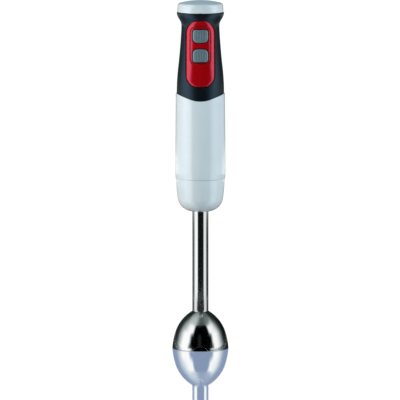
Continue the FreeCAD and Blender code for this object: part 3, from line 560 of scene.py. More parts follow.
class Outline:
    """Half section of a turned surface, from its lowest knot up."""

    def __init__(self, knots: Sequence[Knot], step: float = 0.7 * MM) -> None:
        """Outline through knots.

        Args:
            knots: Its corners, from the lowest up.
            step: Length of the pieces that its runs are cut into.
        """
        self.points: list[Pair] = [(knots[0].r, knots[0].z)]
        for start, end in zip(knots, knots[1:]):
            self.points += self._run(start, end, step)

    @staticmethod
    def _run(start: Knot, end: Knot, step: float) -> list[Pair]:
        """Points of one run, without its first.

        Args:
            start: Knot that the run leaves.
            end: Knot that it reaches.
            step: Length of its pieces.

        Returns:
            The points.
        """
        along = np.array([end.r - start.r, end.z - start.z])
        length = float(np.hypot(*along))
        along /= length
        outward = np.array([along[1], -along[0]])
        middle = np.array([start.r + end.r, start.z + end.z]) / 2
        count = max(1, round(length / step))
        places = np.linspace(-1, 1, count + 1)[1:]
        if not end.bulge:
            return [tuple(middle + along * place * length / 2) for place in places]
        radius = ((length / 2) ** 2 + end.bulge ** 2) / (2 * end.bulge)
        centre = middle + outward * (end.bulge - radius)
        angles = places * math.asin(length / 2 / abs(radius))
        across, reach = outward * radius, along * abs(radius)
        return [tuple(centre + across * math.cos(angle) + reach * math.sin(angle))
                for angle in angles]

    def radius(self, z: Any) -> Any:
        """Radius at a height, or at each of several heights."""
        radii, heights = zip(*self.points)
        return np.interp(z, heights, radii)

    def inside(self, wall: float) -> list[Pair]:
        """The outline moved inwards by a wall's thickness, from the lowest point up.

        Args:
            wall: The wall's thickness.

        Returns:
            The moved points.
        """
        points = np.array(self.points)
        runs = np.gradient(points, axis=0)
        runs /= np.linalg.norm(runs, axis=1)[:, None]
        moved = points - np.stack([runs[:, 1], -runs[:, 0]], axis=1) * wall
        moved[0] = (moved[0][0], points[0][1])
        moved[-1] = (moved[-1][0], points[-1][1])
        return [tuple(point) for point in moved]

    def shell(self, wall: float) -> list[Pair]:
        """Closed section of a wall that has this outline outside."""
        return self.points + self.inside(wall)[::-1]


def eased(corners: Sequence[Pair], radius: float, blunt: float = math.radians(24),
          side_share: float = 0.48) -> list[Pair]:
    """Rounds the sharp corners of a closed section.

    Args:
        corners: The section's points.
        radius: How far the rounding reaches along each side of a corner.
        blunt: Corners that turn by less than this stay.
        side_share: Most of a side that one rounding may take.

    Returns:
        The section's new points.
    """
    result: list[Pair] = []
    count = len(corners)
    for index, corner in enumerate(corners):
        here = np.array(corner)
        back = np.array(corners[index - 1]) - here
        ahead = np.array(corners[(index + 1) % count]) - here
        long_back, long_ahead = float(np.linalg.norm(back)), float(np.linalg.norm(ahead))
        cosine = float(np.dot(back, ahead) / (long_back * long_ahead))
        if math.pi - math.acos(max(-1.0, min(1.0, cosine))) < blunt or corner[0] < WELD:
            result.append(corner)
            continue
        reach = min(radius, side_share * long_back, side_share * long_ahead)
        start, end = here + back / long_back * reach, here + ahead / long_ahead * reach
        for share in np.linspace(0, 1, CORNER_POINTS):
            rest = 1 - share
            result.append(tuple(rest ** 2 * start + 2 * share * rest * here + share ** 2 * end))
    return result


# ---- Meshes ----


def piece_of(name: str, mesh: Mesh, finish: Finish | None = None) -> Object:
    """Object at the origin that shows a mesh.

    Args:
        name: The object's name.
        mesh: Its mesh.
        finish: Its finish, in place of the mesh's materials.

    Returns:
        The object.
    """
    made = bpy.data.objects.new(name, mesh)
    bpy.context.scene.collection.objects.link(made)
    if finish:
        mesh.materials.clear()
        mesh.materials.append(finish.material())
    return made


def mesh_of(name: str, vertices: Sequence[Any], faces: Sequence[Sequence[int]],
            edges: Sequence[tuple[int, int]] = ()) -> Mesh:
    """Mesh of vertices, faces and edges.

    Args:
        name: The mesh's name.
        vertices: Its points.
        faces: Its faces, as the numbers of their points.
        edges: Its loose edges, in the same way.

    Returns:
        The mesh.
    """
    mesh = bpy.data.meshes.new(name)
    mesh.from_pydata([tuple(vertex) for vertex in vertices], list(edges), list(faces))
    return mesh


def tidied(mesh: Mesh, sharp: float = 32.0) -> None:
    """Closes a mesh's holes, turns its faces outwards and smooths its blunt edges.

    Args:
        mesh: The mesh.
        sharp: Angle in degrees from which an edge stays sharp.
    """
    shape = bmesh.new()
    shape.from_mesh(mesh)
    bmesh.ops.remove_doubles(shape, verts=shape.verts, dist=WELD)
    bmesh.ops.dissolve_degenerate(shape, edges=shape.edges, dist=WELD / 4)
    rims = [edge for edge in shape.edges if edge.is_boundary]
    if rims:
        bmesh.ops.holes_fill(shape, edges=rims)
    bmesh.ops.recalc_face_normals(shape, faces=shape.faces)
    shape.to_mesh(mesh)
    shape.free()
    mesh.shade_smooth()
    mesh.set_sharp_from_angle(angle=math.radians(sharp))


def applied(piece: Object) -> None:
    """Turns a piece with live modifiers into a plain mesh.

    Args:
        piece: The piece.
    """
    seen = piece.evaluated_get(bpy.context.evaluated_depsgraph_get())
    mesh = bpy.data.meshes.new_from_object(seen)
    piece.modifiers.clear()
    piece.data = mesh


def loops_mesh(name: str, loops: Sequence[np.ndarray], ring: bool) -> Mesh:
    """Mesh through loops of equally many points.

    Args:
        name: The mesh's name.
        loops: One array of points for each loop.
        ring: True joins the last loop to the first, False caps both.

    Returns:
        The mesh.
    """
    count, rows = len(loops[0]), len(loops)
    steps = [(index, (index + 1) % count) for index in range(count)]
    pairs = [(row, row + 1) for row in range(rows - 1)] + ([(rows - 1, 0)] if ring else [])
    faces = [
        (first * count + here, first * count + following,
         second * count + following, second * count + here)
        for first, second in pairs for here, following in steps]
    vertices = np.concatenate(loops)
    if not ring:
        ends = len(vertices)
        vertices = np.concatenate([vertices, [loops[0].mean(axis=0), loops[-1].mean(axis=0)]])
        last = (rows - 1) * count
        for here, following in steps:
            faces += [(following, here, ends), (last + here, last + following, ends + 1)]
    return mesh_of(name, vertices, faces)


def cut_away(piece: Object, *cutters: Object) -> None:
    """Cuts solids out of a piece.

    Args:
        piece: The piece.
        cutters: The solids, which are deleted.
    """
    for cutter in cutters:
        step = piece.modifiers.new("cut", "BOOLEAN")
        step.operation = "DIFFERENCE"
        step.solver = "EXACT"
        step.object = cutter
    applied(piece)
    for cutter in cutters:
        bpy.data.objects.remove(cutter)
    tidied(piece.data)


# ---- Geometry Nodes ----


BAR_ROUND = 0.46  # of a vent bar's height
BAR_CORNER_POINTS = 6
RIB_POINTS = 24
RIB_SIDES = 12
RIB_RAY_START = -1.0  # on Y, of the rays that lay the ribs on a button
BEAD_SIDES = 14


class Socket(Enum):
    """Kinds of input and output that a geometry tree can have."""

    GEOMETRY = "NodeSocketGeometry"
    COUNT = "NodeSocketInt"
    LENGTH = "NodeSocketFloat"
    PLACE = "NodeSocketVector"
    MATERIAL = "NodeSocketMaterial"


class GeometryTree(Graph):
    """Geometry Nodes tree with named inputs that ends in Realize Instances and Set Material."""

    def __init__(self, name: str, **inputs: Socket) -> None:
        """Tree with a geometry input and output, and no nodes between.

        Args:
            name: The tree's name.
            inputs: Kind of each further input, by name.
        """
        super().__init__(bpy.data.node_groups.new(name, "GeometryNodeTree"))
        self._socket("Geometry", "INPUT", Socket.GEOMETRY)
        self._socket("Geometry", "OUTPUT", Socket.GEOMETRY)
        self.keys = {label: self._socket(label, "INPUT", kind)
                     for label, kind in {**inputs, "finish": Socket.MATERIAL}.items()}
        self.entry = self.add("NodeGroupInput")

    def _socket(self, label: str, way: str, kind: Socket) -> str:
        """Adds an input or an output to the tree and returns its key."""
        return self.tree.interface.new_socket(
            name=label, in_out=way, socket_type=kind.value).identifier

    @property
    def geometry(self) -> NodeSocket:
        """The geometry that comes in."""
        return self.entry.outputs["Geometry"]

    def given(self, label: str) -> Term:
        """One of the tree's named inputs."""
        return Term(self, self.entry.outputs[label])

    def row(self, start: Any, step: Any) -> Node:
        """Points in a row, as many as the input count says, each a step from the last."""
        return self.add("GeometryNodeMeshLine", {
            "Count": self.given("count"), "Start Location": start, "Offset": step}, mode="OFFSET")

    def tube(self, path: Any, sides: int) -> Node:
        """Closed round tube along a curve, as thick as the input thickness says.

        Args:
            path: The curve.
            sides: Sides of the tube's section.

        Returns:
            The node that makes it.
        """
        section = self.add("GeometryNodeCurvePrimitiveCircle", {
            "Resolution": sides, "Radius": self.given("thickness") * 0.5})
        return self.add("GeometryNodeCurveToMesh", {
            "Curve": path, "Profile Curve": section, "Fill Caps": True})

    def joined(self, first: Any, second: Any) -> Node:
        """Two meshes as one.

        Args:
            first: The one mesh.
            second: The other.

        Returns:
            The node that joins them.
        """
        both = self.add("GeometryNodeJoinGeometry", {"Geometry": first})
        self.plug(both.inputs["Geometry"], second)
        return both

    def close(self, result: Any) -> None:
        """Ends the tree.

        Args:
            result: The geometry that comes out.
        """
        real = self.add("GeometryNodeRealizeInstances", {"Geometry": result})
        dressed = self.add("GeometryNodeSetMaterial", {
            "Geometry": real, "Material": self.given("finish")})
        self.add("NodeGroupOutput", {"Geometry": dressed})

    def run(self, piece: Object, finish: Finish, **values: Any) -> Object:
        """Applies the tree to a piece.

        Args:
            piece: The object whose mesh goes in.
            finish: Finish of what comes out.
            values: The tree's named inputs.

        Returns:
            The same piece, with a plain mesh.
        """
        step = piece.modifiers.new(self.tree.name, "NODES")
        step.node_group = self.tree
        for label, value in {**values, "finish": finish.material()}.items():
            step[self.keys[label]] = value
        applied(piece)
        tidied(piece.data)
        return piece


def lathe_tree() -> GeometryTree:
    """Tree that turns a half section, given as a row of points, about the drive axis.

    Returns:
        The tree.
    """
    tree = GeometryTree("lathe", segments=Socket.COUNT, start=Socket.LENGTH, sweep=Socket.LENGTH)
    size = tree.add(
        "GeometryNodeAttributeDomainSize", {"Geometry": tree.geometry}, component="MESH")
    points = Term(tree, size.outputs["Point Count"])
    segments = tree.given("segments")
    grid = tree.add("GeometryNodeMeshGrid", {
        "Size X": points - 1, "Size Y": segments,
        "Vertices X": points, "Vertices Y": segments + 1})
    here = tree.add("GeometryNodeInputPosition")
    across, along, _ = tree.axes(here)
    row = (across + (points - 1) * 0.5).rounded()
    angle = tree.given("start") + (along / segments + 0.5) * tree.given("sweep")
    knot = tree.add("GeometryNodeSampleIndex", {
        "Geometry": tree.geometry, "Value": here, "Index": row}, data_type="FLOAT_VECTOR")
    radius, _, height = tree.axes(knot)
    turned = tree.add("GeometryNodeSetPosition", {
        "Geometry": grid.outputs["Mesh"],
        "Position": tree.vector(radius * angle.cos(), radius * angle.sin(), height)})
    tree.close(tree.add("GeometryNodeMergeByDistance", {"Geometry": turned, "Distance": WELD}))
    return tree


def rib_tree() -> GeometryTree:
    """Tree that lays a row of upright ribs on the front of a mesh and joins them to it.

    Returns:
        The tree.
    """
    tree = GeometryTree("ribs", count=Socket.COUNT, pitch=Socket.LENGTH, length=Socket.LENGTH,
                        thickness=Socket.LENGTH, middle=Socket.LENGTH)
    pitch, length, middle = tree.given("pitch"), tree.given("length"), tree.given("middle")
    first = (tree.given("count") - 1) * pitch * -0.5
    row = tree.row(tree.vector(first, RIB_RAY_START, middle), tree.vector(pitch, 0.0, 0.0))
    line = tree.add("GeometryNodeCurvePrimitiveLine", {
        "Start": tree.vector(0.0, 0.0, length * -0.5),
        "End": tree.vector(0.0, 0.0, length * 0.5)})
    fine = tree.add("GeometryNodeResampleCurve", {"Curve": line, "Count": RIB_POINTS})
    lines = tree.add("GeometryNodeInstanceOnPoints", {"Points": row, "Instance": fine})
    real = tree.add("GeometryNodeRealizeInstances", {"Geometry": lines})
    hit = tree.add("GeometryNodeRaycast", {
        "Target Geometry": tree.geometry,
        "Source Position": tree.add("GeometryNodeInputPosition"),
        "Ray Direction": (0.0, 1.0, 0.0), "Ray Length": -2 * RIB_RAY_START})
    laid = tree.add("GeometryNodeSetPosition", {
        "Geometry": real, "Position": hit.outputs["Hit Position"]})
    tree.close(tree.joined(tree.geometry, tree.tube(laid, RIB_SIDES)))
    return tree


def slot_tree() -> GeometryTree:
    """Tree that makes a column of rounded bars along Y, to cut vents with.

    Returns:
        The tree.
    """
    tree = GeometryTree("slots", count=Socket.COUNT, pitch=Socket.LENGTH, width=Socket.LENGTH,
                        height=Socket.LENGTH, depth=Socket.LENGTH, place=Socket.PLACE)
    column = tree.row(tree.given("place"), tree.vector(0.0, 0.0, tree.given("pitch")))
    slot = tree.add("GeometryNodeCurvePrimitiveQuadrilateral", {
        "Width": tree.given("width"), "Height": tree.given("height")})
    soft = tree.add("GeometryNodeFilletCurve", {
        "Curve": slot, "Count": BAR_CORNER_POINTS,
        "Radius": tree.given("height") * BAR_ROUND}, mode="POLY")
    face = tree.add("GeometryNodeFillCurve", {"Curve": soft}, mode="NGONS")
    raised = tree.add("GeometryNodeExtrudeMesh", {
        "Mesh": face, "Offset": (0.0, 0.0, 1.0), "Offset Scale": tree.given("depth")})
    back = tree.add("GeometryNodeFlipFaces", {"Mesh": face})
    both = tree.joined(raised.outputs["Mesh"], back)
    bar = tree.add("GeometryNodeMergeByDistance", {"Geometry": both, "Distance": WELD})
    upright = tree.add("GeometryNodeTransform", {
        "Geometry": bar, "Rotation": (-math.pi / 2, 0.0, 0.0)})
    tree.close(tree.add("GeometryNodeInstanceOnPoints", {"Points": column, "Instance": upright}))
    return tree


def bead_tree() -> GeometryTree:
    """Tree that runs a round bead along a path of points.

    Returns:
        The tree.
    """
    tree = GeometryTree("bead", thickness=Socket.LENGTH)
    path = tree.add("GeometryNodeMeshToCurve", {"Mesh": tree.geometry})
    tree.close(tree.tube(path, BEAD_SIDES))
    return tree


@dataclass(frozen=True)
class Vents:
    """Column of rounded slots in a back wall."""

    count: int = 5
    pitch: float = 4.6 * MM
    width: float = 17.0 * MM
    height: float = 1.9 * MM
    depth: float = 40 * MM
    start: float = 5 * MM  # how far behind the axis the cutting bars begin


class Workshop:
    """The trees that the sub-assemblies share."""

    def __init__(self) -> None:
        """Makes the trees."""
        self.lathe = lathe_tree()
        self.ribs = rib_tree()
        self.slots = slot_tree()
        self.bead = bead_tree()

    def turn(self, name: str, section: Sequence[Pair], finish: Finish, closed: bool = True,
             start: float = 0.0, sweep: float = FULL_TURN, segments: int = 256) -> Object:
        """Piece turned from a half section.

        Args:
            name: The piece's name.
            section: Points of radius and height.
            finish: The piece's finish.
            closed: True joins the section's last point to its first.
            start: Angle from +X at which it begins.
            sweep: Angle that it covers.
            segments: Steps round it.

        Returns:
            The piece, with its mesh in place.
        """
        points = list(section) + ([section[0]] if closed else [])
        row = mesh_of(name, [(r, 0.0, z) for r, z in points], [],
                      [(index, index + 1) for index in range(len(points) - 1)])
        return self.lathe.run(
            piece_of(name, row), finish, segments=segments, start=start, sweep=sweep)

    def vent_cutter(self, vents: Vents, z: float) -> Object:
        """Solid bars that cut a column of vents into a back wall.

        Args:
            vents: The column's sizes.
            z: Height of the lowest slot's middle.

        Returns:
            The bars, as one piece.
        """
        place = (0.0, vents.start, z)
        seed = piece_of("vent_cutter", mesh_of("vent_cutter", [place], []))
        return self.slots.run(seed, BLACK, count=vents.count, pitch=vents.pitch,
                              width=vents.width, height=vents.height, depth=vents.depth,
                              place=place)


def rod(name: str, near: np.ndarray, length: float) -> Object:
    """Closed prism from a loop of points along +Y, to cut with."""
    far = near + np.array([0.0, length, 0.0])
    return piece_of(name, loops_mesh(name, [near, far], False))


def installed(piece: Object, body: str, finish: Finish, *nodes: str) -> Object:
    """Seats a piece on its body and lets it stand for CAD nodes.

    Args:
        piece: The piece.
        body: The body that it moves with.
        finish: Not used.
        nodes: The CAD nodes.

    Returns:
        The same piece.
    """
    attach(piece, body)
    if nodes:
        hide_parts(*nodes)
    log.info("%s rides on %s: %d faces", piece.name, body, len(piece.data.polygons))
    return piece


# ---- Foot ----


@dataclass
class Foot:
    """Spun bell with its beaded rim, the stem and the white collar."""

    workshop: Workshop
    side_r: float = 27.6 * MM
    side_z: float = 19.4 * MM
    side_bulge: float = 0.6 * MM
    cone_r: float = 17.61 * MM
    cone_z: float = 35.24 * MM
    cone_bulge: float = 0.37 * MM
    shoulder_bulge: float = 1.07 * MM
    neck_height: float = 1.2 * MM
    outline_step: float = 0.5 * MM
    wall: float = 0.9 * MM
    wall_round: float = 0.3 * MM
    bead: float = 0.7 * MM
    stem_wall: float = 0.8 * MM
    bell_segments: int = 384
    stem_segments: int = 192
    notch_count: int = 3
    notch_width: float = 17.9 * MM
    notch_height: float = 5.6 * MM
    notch_below: float = 2 * MM  # how far the notch's cutter reaches below the rim
    notch_points: int = 49
    arch_points: int = 41  # of the bead over a notch
    rim_points: int = 50  # of the bead between two notches
    cheek_r: float = 25.4 * MM
    cheek_z: float = 14.5 * MM
    cheek_bulge: float = 2.9 * MM
    collar_foot_r: float = 13.0 * MM
    collar_top_r: float = 27.25 * MM
    collar_side_bulge: float = 0.33 * MM
    collar_wall: float = 2.4 * MM
    edge_round: float = 0.12 * MM
    body: str = "foot"

    def __post_init__(self) -> None:
        """Takes the levels and the main radii from the frame."""
        self.rim_r = high("blade_guard").x
        self.neck_z = high("blade_guard").z
        self.stem_r = high("stem_tube").x
        self.stem_top = high("stem_tube").z
        self.collar_z = low("foot_collar").z
        self.collar_top = high("foot_collar").z
        self.collar_r = high("foot_collar").x
        self.side = Outline([
            Knot(self.rim_r, 0.0),
            Knot(self.side_r, self.side_z, self.side_bulge),
            Knot(self.cone_r, self.cone_z, self.shoulder_bulge),
            Knot(self.stem_r, self.neck_z - self.neck_height, self.cone_bulge),
            Knot(self.stem_r, self.neck_z),
        ], self.outline_step)

    def build(self) -> None:
        """Makes the foot's visible pieces."""
        self.guard()
        self.stem()
        self.collar()

    def notch_shape(self) -> Pair:
        """Arch of a notch.

        Returns:
            Its radius and the height of its centre.
        """
        half = self.notch_width / 2
        radius = (half ** 2 + self.notch_height ** 2) / (2 * self.notch_height)
        return radius, self.notch_height - radius

    def notch_angles(self) -> list[float]:
        """Directions of the notches, the first one at the front."""
        return [-math.pi / 2 + index * FULL_TURN / self.notch_count
                for index in range(self.notch_count)]

    def notch_cutter(self, angle: float) -> Object:
        """Arched prism that reaches from the axis out past the rim.

        Args:
            angle: Direction that it points in.

        Returns:
            The prism.
        """
        radius, centre = self.notch_shape()
        drop = -self.notch_below - centre
        reach = math.acos(drop / radius) if abs(drop) < radius else math.pi
        near = np.array([(radius * math.sin(turn), 0.0, centre + radius * math.cos(turn))
                         for turn in np.linspace(-reach, reach, self.notch_points)])
        made = rod("notch_cutter", near, 2 * self.rim_r)
        made.data.transform(Matrix.Rotation(angle - math.pi / 2, 4, "Z"))
        tidied(made.data)
        return made

    def guard(self) -> None:
        """Bell, open at the notches, with a bead round its edge."""
        section = [(r, z) for r, z in self.side.shell(self.wall) if z >= self.bead / 2]
        bell = self.workshop.turn(
            "bell", eased(section, self.wall_round), STEEL, segments=self.bell_segments)
        cut_away(bell, *[self.notch_cutter(angle) for angle in self.notch_angles()])
        installed(bell, self.body, STEEL, "blade_guard")
        path = self.edge_path()
        edges = [(index, (index + 1) % len(path)) for index in range(len(path))]
        bead = piece_of("bell_bead", mesh_of("bell_bead", path, [], edges))
        self.workshop.bead.run(bead, STEEL, thickness=self.bead)
        installed(bead, self.body, STEEL)

    def edge_path(self) -> list[Vector]:
        """Path of the bead: along the rim and over every notch.

        Returns:
            The path's points.
        """
        radius, centre = self.notch_shape()
        half_wall = self.wall / 2
        rest = self.bead / 2
        reach = math.acos((rest - centre) / radius)
        rim_r = float(self.side.radius(rest)) - half_wall
        half_angle = math.asin(radius * math.sin(reach) / rim_r)
        gap = FULL_TURN / self.notch_count - 2 * half_angle
        path = []
        for angle in self.notch_angles():
            for turn in np.linspace(-reach, reach, self.arch_points):
                side, z = radius * math.sin(turn), centre + radius * math.cos(turn)
                r = float(self.side.radius(z)) - half_wall
                at = angle + math.asin(side / r)
                path.append(Vector((r * math.cos(at), r * math.sin(at), z)))
            for share in np.linspace(0, 1, self.rim_points)[1:-1]:
                at = angle + half_angle + gap * share
                path.append(Vector((rim_r * math.cos(at), rim_r * math.sin(at), rest)))
        return path

    def stem(self) -> None:
        """Polished tube, seen between the bell and the collar."""
        inner_r = self.stem_r - self.stem_wall
        section = [(self.stem_r, self.neck_z), (self.stem_r, self.stem_top),
                   (inner_r, self.stem_top), (inner_r, self.neck_z)]
        tube = self.workshop.turn("stem", section, STEEL, segments=self.stem_segments)
        installed(tube, self.body, STEEL, "stem_tube")

    def collar(self) -> None:
        """White bowl that the stem goes into."""
        wall, cheek = self.collar_wall, self.collar_z + self.cheek_z
        outside = Outline([
            Knot(self.collar_foot_r, self.collar_z),
            Knot(self.cheek_r, cheek, self.cheek_bulge),
            Knot(self.collar_top_r, self.collar_top, self.collar_side_bulge),
        ])
        floor = self.collar_z + 2 * wall
        section = outside.points + [
            (self.collar_r - wall, self.collar_top),
            (self.cheek_r - wall, cheek + wall),
            (self.collar_foot_r + wall, floor),
            (self.stem_r, floor),
            (self.stem_r, self.collar_z),
        ]
        bowl = self.workshop.turn("collar", eased(section, self.edge_round), WHITE)
        installed(bowl, self.body, WHITE, "foot_collar")


# ---- Body ----


@dataclass
class Body:
    """White sleeve of the motor unit, with its dipped upper edge and its vents."""

    workshop: Workshop
    edge_r: float = 27.6 * MM
    low_r: float = 28.15 * MM
    chamfer_height: float = 5.8 * MM
    top_r: float = 27.4 * MM
    bore_r: float = 25.2 * MM
    lap_depth: float = 6.8 * MM
    lap_r: float = 26.55 * MM
    arc_r: float = 36.0 * MM
    arc_angle: float = math.radians(19.3)
    segments: int = 320
    edge_reach: float = 40 * MM  # how far down the sleeve follows its upper edge
    outline_step: float = 2.0 * MM
    vents: Vents = Vents()
    vent_stand: float = 34.0 * MM
    edge_round: float = 0.12 * MM
    body: str = "motor_unit"

    def __post_init__(self) -> None:
        """Takes the levels from the frame."""
        self.foot_z = low("body_shell").z
        self.dip_z = low("grip_front").z + self.lap_depth

    def edge_rise(self, x: np.ndarray) -> np.ndarray:
        """How far the upper edge stands above its dip.

        Args:
            x: Distances from the middle.

        Returns:
            The rise at each of them.
        """
        side = np.abs(x)
        turn_x = self.arc_r * math.sin(self.arc_angle)
        turn_z = self.arc_r * (1 - math.cos(self.arc_angle))
        round_part = self.arc_r - np.sqrt(self.arc_r ** 2 - np.minimum(side, turn_x) ** 2)
        straight_part = turn_z + (side - turn_x) * math.tan(self.arc_angle)
        return np.where(side < turn_x, round_part, straight_part)

    def build(self) -> None:
        """Makes the sleeve."""
        outside = Outline([
            Knot(self.edge_r, self.foot_z),
            Knot(self.low_r, self.foot_z + self.chamfer_height),
            Knot(self.top_r, self.dip_z),
        ], self.outline_step)
        lap_z = self.dip_z - self.lap_depth
        section = outside.points + [
            (self.lap_r, self.dip_z), (self.lap_r, lap_z),
            (self.bore_r, lap_z), (self.bore_r, self.foot_z)]
        sleeve = self.workshop.turn(
            "body_sleeve", eased(section, self.edge_round), WHITE, segments=self.segments)
        self.follow_edge(sleeve.data)
        cut_away(sleeve, self.workshop.vent_cutter(self.vents, self.foot_z + self.vent_stand))
        installed(sleeve, self.body, WHITE, "body_shell")

    def follow_edge(self, mesh: Mesh) -> None:
        """Lifts the upper rim so that it dips at the front and at the back.

        Args:
            mesh: The sleeve's mesh, with a level rim.
        """
        places = np.empty(len(mesh.vertices) * 3)
        mesh.vertices.foreach_get("co", places)
        places = places.reshape(-1, 3)
        start = self.dip_z - self.edge_reach
        share = np.clip((places[:, 2] - start) / (self.dip_z - start), 0, 1)
        places[:, 2] += self.edge_rise(places[:, 0]) * share ** 2
        mesh.vertices.foreach_set("co", places.ravel())
        mesh.update()


# ---- Grip ----


SMALLEST_CORNER = 0.05 * MM
CORNER_ANGLES = np.linspace(0, 90, 13)
SIDE_STEPS = 28  # along a tablet's long side
END_STEPS = 16


@dataclass(frozen=True)
class Pad:
    """Rounded tablet drawn on the front of the grip, with its middle at z."""

    width: float
    height: float
    z: float
    low_corner: float
    high_corner: float
    low_bulge: float = 0.0
    high_bulge: float = 0.0

    def loop(self, inset: float = 0.0) -> np.ndarray:
        """Outline of the tablet.

        Args:
            inset: How far it is moved inwards.

        Returns:
            Its points, as rows of x and z.
        """
        half_width, half_height = self.width / 2 - inset, self.height / 2 - inset
        corners = [  # centre signs, radius and first angle of each corner, from the lower right
            (1, -1, self.low_corner, -90), (1, 1, self.high_corner, 0),
            (-1, 1, self.high_corner, 90), (-1, -1, self.low_corner, 180)]
        points: list[Pair] = []
        for side, level, corner, first in corners:
            radius = max(corner - inset, SMALLEST_CORNER)
            centre = (side * (half_width - radius), level * (half_height - radius))
            turns = [math.radians(first + turn) for turn in CORNER_ANGLES]
            arc = [(centre[0] + radius * math.cos(turn), centre[1] + radius * math.sin(turn))
                   for turn in turns]
            if points:
                upright = side == level  # the run up the right side or down the left one
                points += self._between(points[-1], arc[0], SIDE_STEPS if upright else END_STEPS)
            points += arc
        points += self._between(points[-1], points[0], END_STEPS)
        loop = np.array(points)
        share = loop[:, 1] / half_height
        bulge = np.where(share > 0, self.high_bulge, self.low_bulge)
        lift = bulge * (1 - (loop[:, 0] / half_width) ** 2)
        loop[:, 1] += lift * share + self.z
        return loop

    @staticmethod
    def _between(start: Pair, end: Pair, steps: int) -> list[Pair]:
        """Points strictly between two others.

        Args:
            start: The one point.
            end: The other.
            steps: Parts that the run between them has.

        Returns:
            The points.
        """
        across, up = end[0] - start[0], end[1] - start[1]
        return [(start[0] + across * share, start[1] + up * share)
                for share in np.linspace(0, 1, steps + 1)[1:-1]]

    def grown(self, by: float) -> "Pad":
        """The same tablet, larger all round.

        Args:
            by: How far its edge moves out.

        Returns:
            The new tablet.
        """
        return replace(
            self, width=self.width + 2 * by, height=self.height + 2 * by,
            low_corner=self.low_corner + by, high_corner=self.high_corner + by)


# The grip's tablets, with their middles measured from its rim.
PANEL = Pad(31.5 * MM, 69.4 * MM, -44.35 * MM, 10.5 * MM, 12.3 * MM, 1.8 * MM, 1.8 * MM)
SURROUND = Pad(22.3 * MM, 40.8 * MM, -34.8 * MM, 5.0 * MM, 7.0 * MM)
UPPER_BUTTON = Pad(17.2 * MM, 13.1 * MM, -24.3 * MM, 3.8 * MM, 3.4 * MM, low_bulge=1.3 * MM)
LOWER_BUTTON = Pad(17.2 * MM, 13.1 * MM, -47.0 * MM, 3.4 * MM, 3.8 * MM, high_bulge=1.3 * MM)
ROUNDING = np.linspace(0, math.pi / 2, 6)  # angles over a rounded edge
BACK_SHARES = (0.02, 0.25, 0.5, 0.62, 0.74, 0.84, 0.92)  # of a tablet's size, middle to edge
FACE_SHARES = np.linspace(0.94, 0.02, 16)
PANEL_FACE_SHARES = np.linspace(0, 1, 12)[1:-1]  # of the way from its rim to its opening
PANEL_BACK_SHARES = np.linspace(0, 1, 6)


